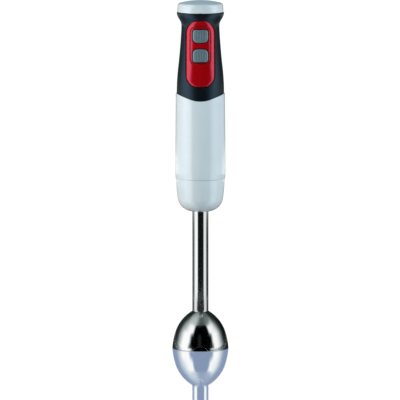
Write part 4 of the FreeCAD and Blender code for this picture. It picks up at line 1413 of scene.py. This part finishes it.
@dataclass
class Grip:
    """Black grip with its red panel, the surround and the two buttons."""

    workshop: Workshop
    dip_z: float
    base_r: float = 26.45 * MM
    swell_height: float = 5.2 * MM
    mid_r: float = 24.5 * MM
    mid_height: float = 38.3 * MM
    lower_bulge: float = 0.5 * MM
    waist_r: float = 21.1 * MM
    waist_drop: float = 15.5 * MM
    upper_bulge: float = 0.35 * MM
    flare_low_r: float = 22.4 * MM
    flare_low_drop: float = 9.7 * MM
    flare_low_bulge: float = 0.35 * MM
    flare_high_r: float = 24.4 * MM
    flare_high_drop: float = 6.3 * MM
    flare_high_bulge: float = 0.42 * MM
    rim_r: float = 26.35 * MM
    outline_step: float = 1.0 * MM
    wall: float = 2.4 * MM
    edge_round: float = 0.3 * MM
    segments: int = 160
    grip_height: float = 97.1 * MM
    parting: float = 0.12 * MM
    panel_sink: float = 1.3 * MM
    panel_proud: float = 0.4 * MM
    panel_gap: float = 0.8 * MM
    panel_round: float = 1.1 * MM
    hole_round: float = 0.5 * MM
    surround_gap: float = 0.45 * MM
    surround_recess: float = 0.65 * MM
    button_gap: float = 1.0 * MM
    button_proud: float = 1.5 * MM
    button_round: float = 1.3 * MM
    press_travel: float = 2.0 * MM
    rib_count: int = 5
    rib_pitch: float = 2.7 * MM
    rib_thickness: float = 1.1 * MM
    rib_short: float = 3.2 * MM  # how much shorter than the button a rib is
    cut_past: float = 3 * MM  # how far a cutter reaches past a wall's face
    vents: Vents = Vents()
    vent_stand: float = 24.0 * MM
    inlet_r: float = 5.0 * MM
    inlet_start: float = 5 * MM
    inlet_length: float = 50 * MM
    inlet_sides: int = 64
    pointer_width: float = 2.6 * MM
    pointer_sink: float = 0.3 * MM
    pointer_proud: float = 0.25 * MM
    pointer_drop: float = 1.3 * MM
    pointer_rise: float = 0.8 * MM
    pointer_round: float = 0.15 * MM
    pointer_segments: int = 12
    body: str = "motor_unit"

    def __post_init__(self) -> None:
        """Works out the levels and the tablets from the rim's height."""
        self.foot_z = low("grip_front").z
        self.rim_z = self.dip_z + self.grip_height
        top = self.rim_z
        self.side = Outline([
            Knot(self.base_r, self.foot_z),
            Knot(self.base_r, self.dip_z + self.swell_height),
            Knot(self.mid_r, self.dip_z + self.mid_height, self.lower_bulge),
            Knot(self.waist_r, top - self.waist_drop, -self.upper_bulge),
            Knot(self.flare_low_r, top - self.flare_low_drop, -self.flare_low_bulge),
            Knot(self.flare_high_r, top - self.flare_high_drop),
            Knot(self.rim_r, top, self.flare_high_bulge),
        ], self.outline_step)
        self.panel, self.surround, self.upper, self.lower = (
            replace(pad, z=top + pad.z)
            for pad in (PANEL, SURROUND, UPPER_BUTTON, LOWER_BUTTON))

    def build(self) -> None:
        """Makes the grip's visible pieces."""
        self.front()
        self.rear()
        self.control_panel()
        self.surround_inlay()
        self.button("button_upper", self.upper, "upper_button", "speed_button")
        self.button("button_lower", self.lower, "lower_button", "turbo_button")
        self.dome("dome_upper", "speed_dome", "speed_press")
        self.dome("dome_lower", "turbo_dome", "turbo_press")

    def on_surface(self, loop: np.ndarray, offset: float) -> np.ndarray:
        """Points on the front of the grip.

        Args:
            loop: Rows of x and z.
            offset: How far outwards they are moved.

        Returns:
            Rows of x, y and z.
        """
        radius = self.side.radius(loop[:, 1]) + offset
        depth = -np.sqrt(np.maximum(radius ** 2 - loop[:, 0] ** 2, 0.0))
        return np.stack([loop[:, 0], depth, loop[:, 1]], axis=1)

    def rounded_edge(self, pad: Pad, outer: float, radius: float,
                     way: float = 1.0) -> list[np.ndarray]:
        """Loops from a tablet's side up over its rounded edge.

        Args:
            pad: The tablet's outline, or a hole's.
            outer: Offset of the face from the grip's surface.
            radius: The rounding's radius.
            way: 1 for a tablet, -1 for a hole.

        Returns:
            The loops.
        """
        return [self.on_surface(pad.loop(way * radius * (1 - math.cos(turn))),
                                outer - radius * (1 - math.sin(turn)))
                for turn in ROUNDING]

    def tablet(self, name: str, pad: Pad, outer: float, inner: float, radius: float,
               finish: Finish) -> Object:
        """Closed tablet that follows the grip.

        Args:
            name: The piece's name.
            pad: Its outline.
            outer: Offset of its face from the grip's surface.
            inner: Offset of its back.
            radius: Rounding of its face's edge.
            finish: Its finish.

        Returns:
            The piece.
        """
        loops = [self.on_surface(self._towards_middle(pad, 0.0, share), inner)
                 for share in BACK_SHARES]
        loops.append(self.on_surface(pad.loop(), inner))
        loops += self.rounded_edge(pad, outer, radius)
        loops += [self.on_surface(self._towards_middle(pad, radius, share), outer)
                  for share in FACE_SHARES]
        made = piece_of(name, loops_mesh(name, loops, False), finish)
        tidied(made.data)
        return made

    @staticmethod
    def _towards_middle(pad: Pad, inset: float, share: float) -> np.ndarray:
        """A tablet's inset outline, shrunk about its middle."""
        middle = np.array([0.0, pad.z])
        return middle + (pad.loop(inset) - middle) * share

    def front(self) -> None:
        """Front half, with the panel's pocket and the pointer tick."""
        shell = self.half_shell("grip_shell_front", -math.pi)
        cut_away(shell, self.cutter(
            "pocket_cutter", self.panel.grown(self.panel_gap), -self.panel_sink))
        installed(shell, self.body, BLACK, "grip_front")
        installed(self.pointer(), self.body, BLACK)

    def cutter(self, name: str, pad: Pad, inner: float) -> Object:
        """Tablet that cuts the wall from its front in to an offset."""
        return self.tablet(name, pad, self.cut_past, inner, SMALLEST_CORNER, BLACK)

    def half_shell(self, name: str, start: float) -> Object:
        """Half of the grip's wall, set back a little at the parting line.

        Args:
            name: The piece's name.
            start: Angle from +X at which it begins.

        Returns:
            The piece.
        """
        section = eased(self.side.shell(self.wall), self.edge_round)
        shell = self.workshop.turn(
            name, section, BLACK, start=start, sweep=math.pi, segments=self.segments)
        way = 1.0 if start >= 0 else -1.0
        for vertex in shell.data.vertices:
            if abs(vertex.co.y) < self.parting:
                vertex.co.y = way * self.parting
        return shell

    def pointer(self) -> Object:
        """Tick on the rim that the dial is read against.

        Returns:
            The piece.
        """
        half = math.asin(self.pointer_width / 2 / self.rim_r)
        inner, outer = self.rim_r - self.pointer_sink, self.rim_r + self.pointer_proud
        foot, top = self.rim_z - self.pointer_drop, self.rim_z + self.pointer_rise
        section = eased([(inner, foot), (outer, foot), (outer, top), (inner, top)],
                        self.pointer_round)
        return self.workshop.turn(
            "pointer_tick", section, BLACK, start=-math.pi / 2 - half, sweep=2 * half,
            segments=self.pointer_segments)

    def rear(self) -> None:
        """Back half, with vents and the hole of the cord inlet."""
        shell = self.half_shell("grip_shell_rear", 0.0)
        vents = self.workshop.vent_cutter(self.vents, self.dip_z + self.vent_stand)
        cut_away(shell, vents, self.inlet_cutter())
        installed(shell, self.body, BLACK, "grip_rear")

    def inlet_cutter(self) -> Object:
        """Rod that cuts the hole for the cord's gland.

        Returns:
            The rod.
        """
        middle_z = (low("cord_gland").z + high("cord_gland").z) / 2
        near = np.array([
            (self.inlet_r * math.cos(turn), self.inlet_start,
             middle_z + self.inlet_r * math.sin(turn))
            for turn in np.linspace(0, FULL_TURN, self.inlet_sides + 1)[:-1]])
        made = rod("inlet_cutter", near, self.inlet_length)
        tidied(made.data)
        return made

    def control_panel(self) -> None:
        """Glossy red panel with an opening for the surround."""
        outer, edge = self.panel_proud, self.hole_round
        hole = self.surround.grown(self.surround_gap)
        start, end = self.panel.loop(self.panel_round), hole.loop(-edge)
        face = [self.on_surface(start + (end - start) * share, outer)
                for share in PANEL_FACE_SHARES]
        start, end = hole.loop(), self.panel.loop()
        back = [self.on_surface(start + (end - start) * share, -self.panel_sink)
                for share in PANEL_BACK_SHARES]
        loops = self.rounded_edge(self.panel, outer, self.panel_round) + face
        loops += self.rounded_edge(hole, outer, edge, way=-1.0)[::-1] + back
        panel = piece_of("red_panel", loops_mesh("red_panel", loops, True), RED)
        tidied(panel.data)
        installed(panel, self.body, RED, "control_panel")

    def surround_inlay(self) -> None:
        """Red field that the buttons stand in, a little below the panel's face."""
        outer = self.panel_proud - self.surround_recess
        inlay = self.tablet(
            "red_surround", self.surround, outer, -self.panel_sink, self.edge_round, RED)
        windows = [self.cutter("window_cutter", pad.grown(self.button_gap), -self.cut_past)
                   for pad in (self.upper, self.lower)]
        cut_away(inlay, *windows)
        installed(inlay, self.body, RED, "button_surround")

    def button(self, name: str, pad: Pad, body: str, node: str) -> None:
        """Grey button with upright ribs. The flange and the pusher behind it stay unseen.

        Args:
            name: The piece's name.
            pad: Its outline.
            body: The body that it moves with.
            node: The CAD node that it replaces.
        """
        cap = self.tablet(
            name, pad, self.button_proud, -self.wall, self.button_round, BUTTON_GREY)
        self.workshop.ribs.run(
            cap, BUTTON_GREY, count=self.rib_count, pitch=self.rib_pitch,
            length=pad.height - self.rib_short, thickness=self.rib_thickness, middle=pad.z)
        installed(cap, body, BUTTON_GREY, node)

    def dome(self, name: str, node: str, joint: str) -> None:
        """Rubber dome behind a button, made from a copy of its CAD node.

        Args:
            name: The piece's name.
            node: The CAD node that it replaces.
            joint: Not used.
        """
        mesh = frame["nodes"][node].data.copy()
        shell = piece_of(name, mesh, RUBBER)
        tidied(mesh)
        installed(shell, self.body, RUBBER, node)
        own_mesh(shell)


# ---- Dial ----


@dataclass
class Dial:
    """Turning ring on top of the grip with the domed disc let into it."""

    workshop: Workshop
    foot_r: float = 25.75 * MM
    shoulder_r: float = 25.3 * MM
    wall_height: float = 10.0 * MM
    wall: float = 2.2 * MM
    disc_r: float = 23.3 * MM
    disc_edge: float = 1.6 * MM
    disc_gap: float = 0.15 * MM
    disc_round: float = 0.35 * MM
    dome_points: int = 28
    crown_start: float = 2.2 * MM  # how far below the shoulder the ring starts to slope in
    crown_inset: float = 0.75 * MM
    crown_drop: float = 0.55 * MM
    edge_round: float = 0.9 * MM
    body: str = "dial"

    def build(self) -> None:
        """Makes the ring and the disc."""
        crest = high("dial_disc").z
        ledge = low("dial_disc").z
        shoulder = ledge + self.disc_edge
        foot = shoulder - self.wall_height
        inner_r = self.foot_r - self.wall
        seat_r, deck = self.disc_r + self.disc_gap, ledge - self.disc_edge
        section = [
            (0.0, deck), (inner_r, deck), (inner_r, foot), (self.foot_r, foot),
            (self.shoulder_r, shoulder - self.crown_start),
            (self.shoulder_r - self.crown_inset, shoulder - self.crown_drop),
            (seat_r, shoulder), (seat_r, ledge), (0.0, ledge)]
        ring = self.workshop.turn(
            "dial_ring", eased(section, self.edge_round), DIAL_GREY, closed=False)
        installed(ring, self.body, DIAL_GREY, "speed_dial")
        rise = crest - shoulder
        radius = (self.disc_r ** 2 + rise ** 2) / (2 * rise)
        spread = math.asin(self.disc_r / radius)
        dome = [(radius * math.sin(turn), crest - radius * (1 - math.cos(turn)))
                for turn in np.linspace(spread, 0, self.dome_points)]
        dome[-1] = (0.0, crest)
        section = eased([(0.0, ledge), (self.disc_r, ledge), *dome], self.disc_round)
        disc = self.workshop.turn("dial_dome", section, DIAL_CAP_GREY, closed=False)
        installed(disc, self.body, DIAL_CAP_GREY, "dial_disc")


# ---- Carried-over pieces ----


@dataclass
class Works:
    """CAD nodes whose own shape shows: they get a finish by their slot."""

    sharp: float = math.radians(30)

    def build(self) -> None:
        """Dresses every node."""
        for row in frame["record"]["subparts"]:
            node = frame["nodes"][row["node"]]
            node.data.materials.clear()
            node.data.materials.append(FINISH_OF_SLOT[row["material_slot"]].material())
            node.data.shade_smooth()
            node.data.set_sharp_from_angle(angle=self.sharp)


# ---- Stage ----


def staged(name: str, mesh: Mesh, material: Material, *hidden: str) -> None:
    """Adds a piece of the stage.

    Args:
        name: The piece's name.
        mesh: Its mesh.
        material: Its material.
        hidden: Kinds of ray that don't meet it.
    """
    mesh.materials.append(material)
    piece = piece_of(name, mesh)
    for kind in hidden:
        setattr(piece, f"visible_{kind}", False)


def aimed(name: str, data: Any, place: Sequence[float], aim: Sequence[float]) -> Object:
    """Lamp or camera that stands at a place and looks at another.

    Args:
        name: The object's name.
        data: The lamp or camera itself.
        place: Where it stands.
        aim: The point that it looks at.

    Returns:
        The object.
    """
    made = bpy.data.objects.new(name, data)
    made.location = place
    towards = Vector(aim) - Vector(place)
    made.rotation_euler = towards.to_track_quat("-Z", "Y").to_euler()
    bpy.context.scene.collection.objects.link(made)
    return made


DOME_R = 2.6  # of the dome of cards round the blender, and of the card on the floor
FLOOR_CARD_R = 0.434  # where the card on the floor begins
FLOOR_CARD_HEIGHT = 0.0006


@dataclass(frozen=True)
class Band:
    """Row of a painted card.

    Its stops give the brightness by direction, in degrees from the camera's side towards +X.
    """

    distance: float
    height: float
    stops: tuple[Pair, ...]

    @classmethod
    def raised(cls, angle: float, stops: tuple[Pair, ...], distance: float = DOME_R) -> "Band":
        """Row of a dome at an angle above the floor."""
        turn = math.radians(angle)
        return cls(distance * math.cos(turn), distance * math.sin(turn), stops)


@dataclass(frozen=True)
class Card:
    """Painted card all round the blender that only reflections see.

    It is open where the camera sees the floor, and where that floor mirrors the backdrop.
    """

    name: str
    bands: tuple[Band, ...]
    shade: Colour = (0.82, 1.0, 0.97)
    white_over: Pair = (0.5, 1.1)  # brightness over which the shade turns white
    outside: float = 1.12
    steps: int = 240
    gap_side: float = 0.24
    gap_spread: float = 0.03
    gap_height: float = 0.62
    gap_front: float = 0.432

    def build(self) -> None:
        """Makes the card and paints it."""
        turns = np.linspace(-180, 180, self.steps + 1)
        angles = np.radians(turns)
        points, glow = [], []
        for band in self.bands:
            points += [(band.distance * math.sin(angle), -band.distance * math.cos(angle),
                        band.height) for angle in angles]
            glow += list(np.interp(turns, *zip(*band.stops)))
        across = self.steps + 1
        starts = [row * across + step
                  for row in range(len(self.bands) - 1) for step in range(self.steps)]
        faces = [(at, at + 1, at + across + 1, at + across) for at in starts]
        faces = [face for face in faces if not any(self._open(*points[at]) for at in face)]
        mesh = mesh_of(self.name, points, faces)
        mesh.attributes.new("glow", "FLOAT", "POINT").data.foreach_set("value", glow)
        staged(self.name, mesh, self.paint(), "camera", "diffuse", "shadow", "transmission")

    def _open(self, x: float, y: float, z: float) -> bool:
        """True where the card would stand on the visible floor or in the backdrop's way."""
        return (y > -self.gap_front and z < self.gap_height
                and abs(x) < self.gap_side + self.gap_spread * max(y, 0.0))

    def paint(self) -> Material:
        """Light of the painted brightness, tinted where it is dim and white from outside.

        Returns:
            The material.
        """
        material = bpy.data.materials.new(self.name)
        graph = Graph.emptied(material)
        glow = Term(graph, graph.add("ShaderNodeAttribute", attribute_name="glow").outputs["Fac"])
        inside = Term(graph, graph.add("ShaderNodeNewGeometry").outputs["Backfacing"])
        white = inside * glow.between(*self.white_over) + (1.0 - inside)
        graph.glow(graph.mixed(white, self.shade, PLAIN_WHITE),
                   inside * glow + (1.0 - inside) * self.outside)
        return material


# Brightness by direction: two tall soft lights at the sides, with black between them.
FAINT_MIDDLE = ((-14, 0.0), (-4, 0.025), (7, 0.0))
GRIP_SIDES = (
    (-180, 0.1), (-130, 0.04), (-105, 0.25), (-90, 0.9), (-78, 1.4), (-46, 1.4), (-38, 0.2),
    (-33, 0.0), (46, 0.0), (54, 0.3), (60, 0.6), (76, 0.6), (88, 0.3), (98, 0.08), (140, 0.03),
    (180, 0.1))
LOW_SIDES = (
    (-180, 0.1), (-150, 0.06), (-130, 0.03), (-118, 0.08), (-106, 0.45), (-92, 1.0), (-82, 1.38),
    (-58, 1.38), (-52, 0.5), (-47, 0.0), *FAINT_MIDDLE, (53, 0.0), (58, 0.5), (63, 1.3),
    (78, 1.3), (92, 0.85), (104, 0.35), (116, 0.05), (140, 0.0), (160, 0.05), (180, 0.1))
SIDES = (
    (-180, 0.1), (-150, 0.06), (-130, 0.03), (-118, 0.1), (-104, 0.48), (-92, 0.9), (-80, 1.35),
    (-52, 1.38), (-46, 0.5), (-41, 0.0), *FAINT_MIDDLE, (49, 0.0), (54, 0.5), (60, 1.35),
    (78, 1.3), (92, 0.85), (104, 0.35), (116, 0.06), (140, 0.0), (160, 0.05), (180, 0.1))
HIGH_SIDES = (
    (-180, 0.05), (-135, 0.02), (-118, 0.15), (-104, 0.45), (-90, 0.68), (-75, 1.05), (-60, 1.35),
    (-40, 1.3), (-35, 0.5), (-31, 0.0), (40, 0.0), (44, 0.5), (50, 1.3), (64, 1.25), (78, 1.1),
    (92, 0.75), (104, 0.3), (116, 0.08), (135, 0.02), (180, 0.05))
CAP_SIDES = (
    (-180, 0.1), (-135, 0.05), (-118, 0.15), (-104, 0.6), (-92, 1.2), (-82, 1.38), (-42, 1.38),
    (-36, 0.5), (-31, 0.0), (38, 0.0), (43, 0.6), (48, 1.3), (80, 1.3), (94, 0.9), (106, 0.4),
    (118, 0.08), (140, 0.0), (180, 0.1))
BODY_SIDES = (
    (-180, 0.3), (-156, 0.8), (-130, 1.05), (-76, 1.35), (-46, 1.35), (-39, 0.4), (-34, 0.01),
    (38, 0.01), (46, 0.6), (53, 1.15), (100, 1.1), (130, 1.0), (156, 0.8), (180, 0.3))
FLOOR_SIDES = (  # what the stem shows
    (-180, 0.3), (-150, 0.2), (-128, 0.15), (-110, 0.16), (-98, 0.4), (-86, 0.85), (-76, 1.35),
    (-44, 1.35), (-38, 0.4), (-33, 0.01), (40, 0.01), (48, 0.5), (55, 1.15), (78, 1.15), (88, 0.6),
    (98, 0.15), (120, 0.06), (140, 0.1), (160, 0.2), (180, 0.3))
DOME_ROWS = (  # each row's angle above the floor, and its brightness
    (-1, GRIP_SIDES), (2.4, GRIP_SIDES), (2.8, CAP_SIDES), (4.0, CAP_SIDES), (4.6, LOW_SIDES),
    (14, SIDES), (22, SIDES), (33, HIGH_SIDES), (47, HIGH_SIDES),
    (56, (
        (-180, 0.05), (-135, 0.15), (-110, 0.5), (-75, 0.8), (-48, 0.9), (-36, 0.5), (-28, 0.02),
        (35, 0.0), (44, 0.3), (55, 0.45), (85, 0.6), (105, 0.4), (120, 0.12), (140, 0.04),
        (180, 0.05))),
    (59, (
        (-180, 0.1), (-140, 0.2), (-110, 0.52), (-80, 0.72), (-45, 0.75), (-30, 0.45),
        (-18, 0.17), (0, 0.09), (20, 0.09), (45, 0.22), (60, 0.32), (95, 0.3), (120, 0.15),
        (180, 0.1))),
    (72, (
        (-180, 0.25), (-120, 0.5), (-80, 0.7), (-55, 0.66), (-30, 0.38), (-12, 0.2), (5, 0.13),
        (45, 0.15), (75, 0.23), (105, 0.18), (180, 0.2))),
    (82, ((-180, 0.25), (-90, 0.5), (-50, 0.4), (-15, 0.2), (10, 0.15), (180, 0.15))),
    (90, ((-180, 0.19), (180, 0.19))),
)
STEM_REACH = 1.3  # the stem mirrors the floor up to here, and the body up to the next
BODY_REACH = 2.2
FLOOR_ROWS = np.geomspace(FLOOR_CARD_R, DOME_R, 24)
CARDS = (
    Card("glow_round", tuple(Band.raised(angle, stops) for angle, stops in DOME_ROWS)),
    Card("glow_floor", tuple(
        Band(distance, FLOOR_CARD_HEIGHT,
             FLOOR_SIDES if distance < STEM_REACH
             else BODY_SIDES if distance < BODY_REACH else GRIP_SIDES)
        for distance in FLOOR_ROWS)),
)


@dataclass(frozen=True)
class Lamp:
    """Area lamp that faces the blender and stays out of reflections."""

    name: str
    azimuth: float
    size: Pair
    brightness: float
    colour: Colour
    height: float = 0.5
    distance: float = 1.9
    aim_height: float = 0.18

    def build(self) -> None:
        """Makes the lamp."""
        lamp = bpy.data.lights.new(self.name, "AREA")
        lamp.shape = "RECTANGLE"
        lamp.size, lamp.size_y = self.size
        lamp.energy = self.brightness * math.pi * self.size[0] * self.size[1]
        lamp.color = self.colour
        turn = math.radians(self.azimuth)
        place = (self.distance * math.sin(turn), -self.distance * math.cos(turn), self.height)
        aimed(self.name, lamp, place, (0, 0, self.aim_height)).visible_glossy = False


LAMPS = (
    Lamp("lamp_left", -68.0, (1.3, 1.5), 4.6, (1.0, 0.90, 0.86)),
    Lamp("lamp_right", 78.0, (1.0, 1.5), 4.0, (0.95, 0.95, 1.0)),
)


@dataclass
class Stage:
    """Floor, cards that only reflections see, soft lamps and the camera."""

    camera_distance: float = 7.15
    camera_height: float = 1.0
    aim_height: float = 0.1665
    aim_side: float = -0.00045
    lens: float = 580.9
    clip_end: float = 100.0
    floor_size: float = 30.0
    floor_colour: Colour = (0.78, 0.80, 0.82)
    floor_in_gloss: Colour = (0.16, 0.16, 0.18)  # the floor's colour in reflections
    mirror: float = 0.74
    mirror_colour: Colour = (1.0, 0.925, 0.70)
    mirror_blur: float = 0.03
    floor_glow: Colour = (1.04, 1.36, 2.15)
    glow_share: float = 0.75
    # painted shadow: a dark disc on the floor under the bell
    shade_r: float = 30.8 * MM
    shade_soft: float = 0.8 * MM
    shade_colour: Colour = (0.01, 0.01, 0.012)
    backdrop_glow: float = 1.12
    backdrop_distance: float = 6.5
    backdrop_size: Pair = (1.8, 1.3)
    ambient: Colour = (0.35, 0.485, 0.53)

    def build(self) -> None:
        """Makes the whole stage."""
        self.world()
        self.floor()
        for card in CARDS:
            card.build()
        self.backdrop()
        for lamp in LAMPS:
            lamp.build()
        self.camera()

    @staticmethod
    def seen(graph: Graph) -> Term:
        """1 for rays that show the background: from the camera, or by way of gloss or glass.

        Args:
            graph: The graph that asks.

        Returns:
            1 or 0.
        """
        path = graph.add("ShaderNodeLightPath")
        rays = [Term(graph, path.outputs[name])
                for name in ("Is Camera Ray", "Is Glossy Ray", "Is Transmission Ray")]
        return graph.maths("MINIMUM", rays[0] + rays[1] + rays[2], 1.0)

    def world(self) -> None:
        """White where it is seen, and a soft even glow for the rest."""
        world = bpy.data.worlds.new("studio")
        bpy.context.scene.world = world
        graph = Graph.emptied(world)
        colour = graph.mixed(self.seen(graph), self.ambient, PLAIN_WHITE)
        light = graph.add("ShaderNodeBackground", {"Color": colour, "Strength": 1.0})
        graph.add("ShaderNodeOutputWorld", {"Surface": light})

    def floor(self) -> None:
        """Pale glossy floor that mirrors the blender, with a painted shadow disc right under it."""
        half = self.floor_size / 2
        material = bpy.data.materials.new("pale_floor")
        graph = Graph.emptied(material)
        path = graph.add("ShaderNodeLightPath")
        camera, glossy = (Term(graph, path.outputs[name])
                          for name in ("Is Camera Ray", "Is Glossy Ray"))
        diffuse = graph.add("ShaderNodeBsdfDiffuse", {
            "Color": graph.mixed(glossy, self.floor_colour, self.floor_in_gloss)})
        glow = graph.add("ShaderNodeEmission", {"Color": self.floor_glow, "Strength": 1.0})
        base = graph.blended(camera * self.glow_share, diffuse, glow)
        gloss = graph.add("ShaderNodeBsdfGlossy", {
            "Color": graph.mixed(camera, PLAIN_WHITE, self.mirror_colour),
            "Roughness": self.mirror_blur})
        # painted shadow: the floor turns dark inside the bell's radius
        shade = graph.add("ShaderNodeBsdfDiffuse", {"Color": self.shade_colour})
        x, y, _ = graph.axes(graph.add("ShaderNodeTexCoord").outputs["Object"])
        outside = ((x ** 2.0 + y ** 2.0) ** 0.5).between(
            self.shade_r - self.shade_soft, self.shade_r)
        surface = graph.blended(outside, shade, graph.blended(self.mirror, base, gloss))
        graph.add("ShaderNodeOutputMaterial", {"Surface": surface})
        corners = [(-half, -half, 0), (half, -half, 0), (half, half, 0), (-half, half, 0)]
        staged("floor", mesh_of("floor", corners, [(0, 1, 2, 3)]), material)

    def backdrop(self) -> None:
        """Bright sheet far behind, which the floor mirrors to white."""
        (width, height), far = self.backdrop_size, self.backdrop_distance
        half = width / 2
        material = bpy.data.materials.new("backdrop")
        Graph.emptied(material).glow(PLAIN_WHITE, self.backdrop_glow)
        corners = [(-half, far, 0), (half, far, 0), (half, far, height), (-half, far, height)]
        staged("backdrop", mesh_of("backdrop", corners, [(0, 1, 2, 3)]), material,
               "diffuse", "shadow")

    def camera(self) -> None:
        """Camera in front of the buttons, a little above the blender."""
        data = bpy.data.cameras.new("camera")
        data.lens = self.lens
        data.clip_end = self.clip_end
        bpy.context.scene.camera = aimed(
            "camera", data, (self.aim_side, -self.camera_distance, self.camera_height),
            (self.aim_side, 0.0, self.aim_height))
        bpy.context.scene.view_settings.view_transform = "Standard"


def main() -> None:
    """Builds the looks in order."""
    logging.basicConfig(level=logging.INFO, format="%(name)s: %(message)s")
    workshop = Workshop()
    Works().build()
    Foot(workshop).build()
    body = Body(workshop)
    body.build()
    Grip(workshop, body.dip_z).build()
    Dial(workshop).build()
    Stage().build()


if __name__ == "__main__":
    main()
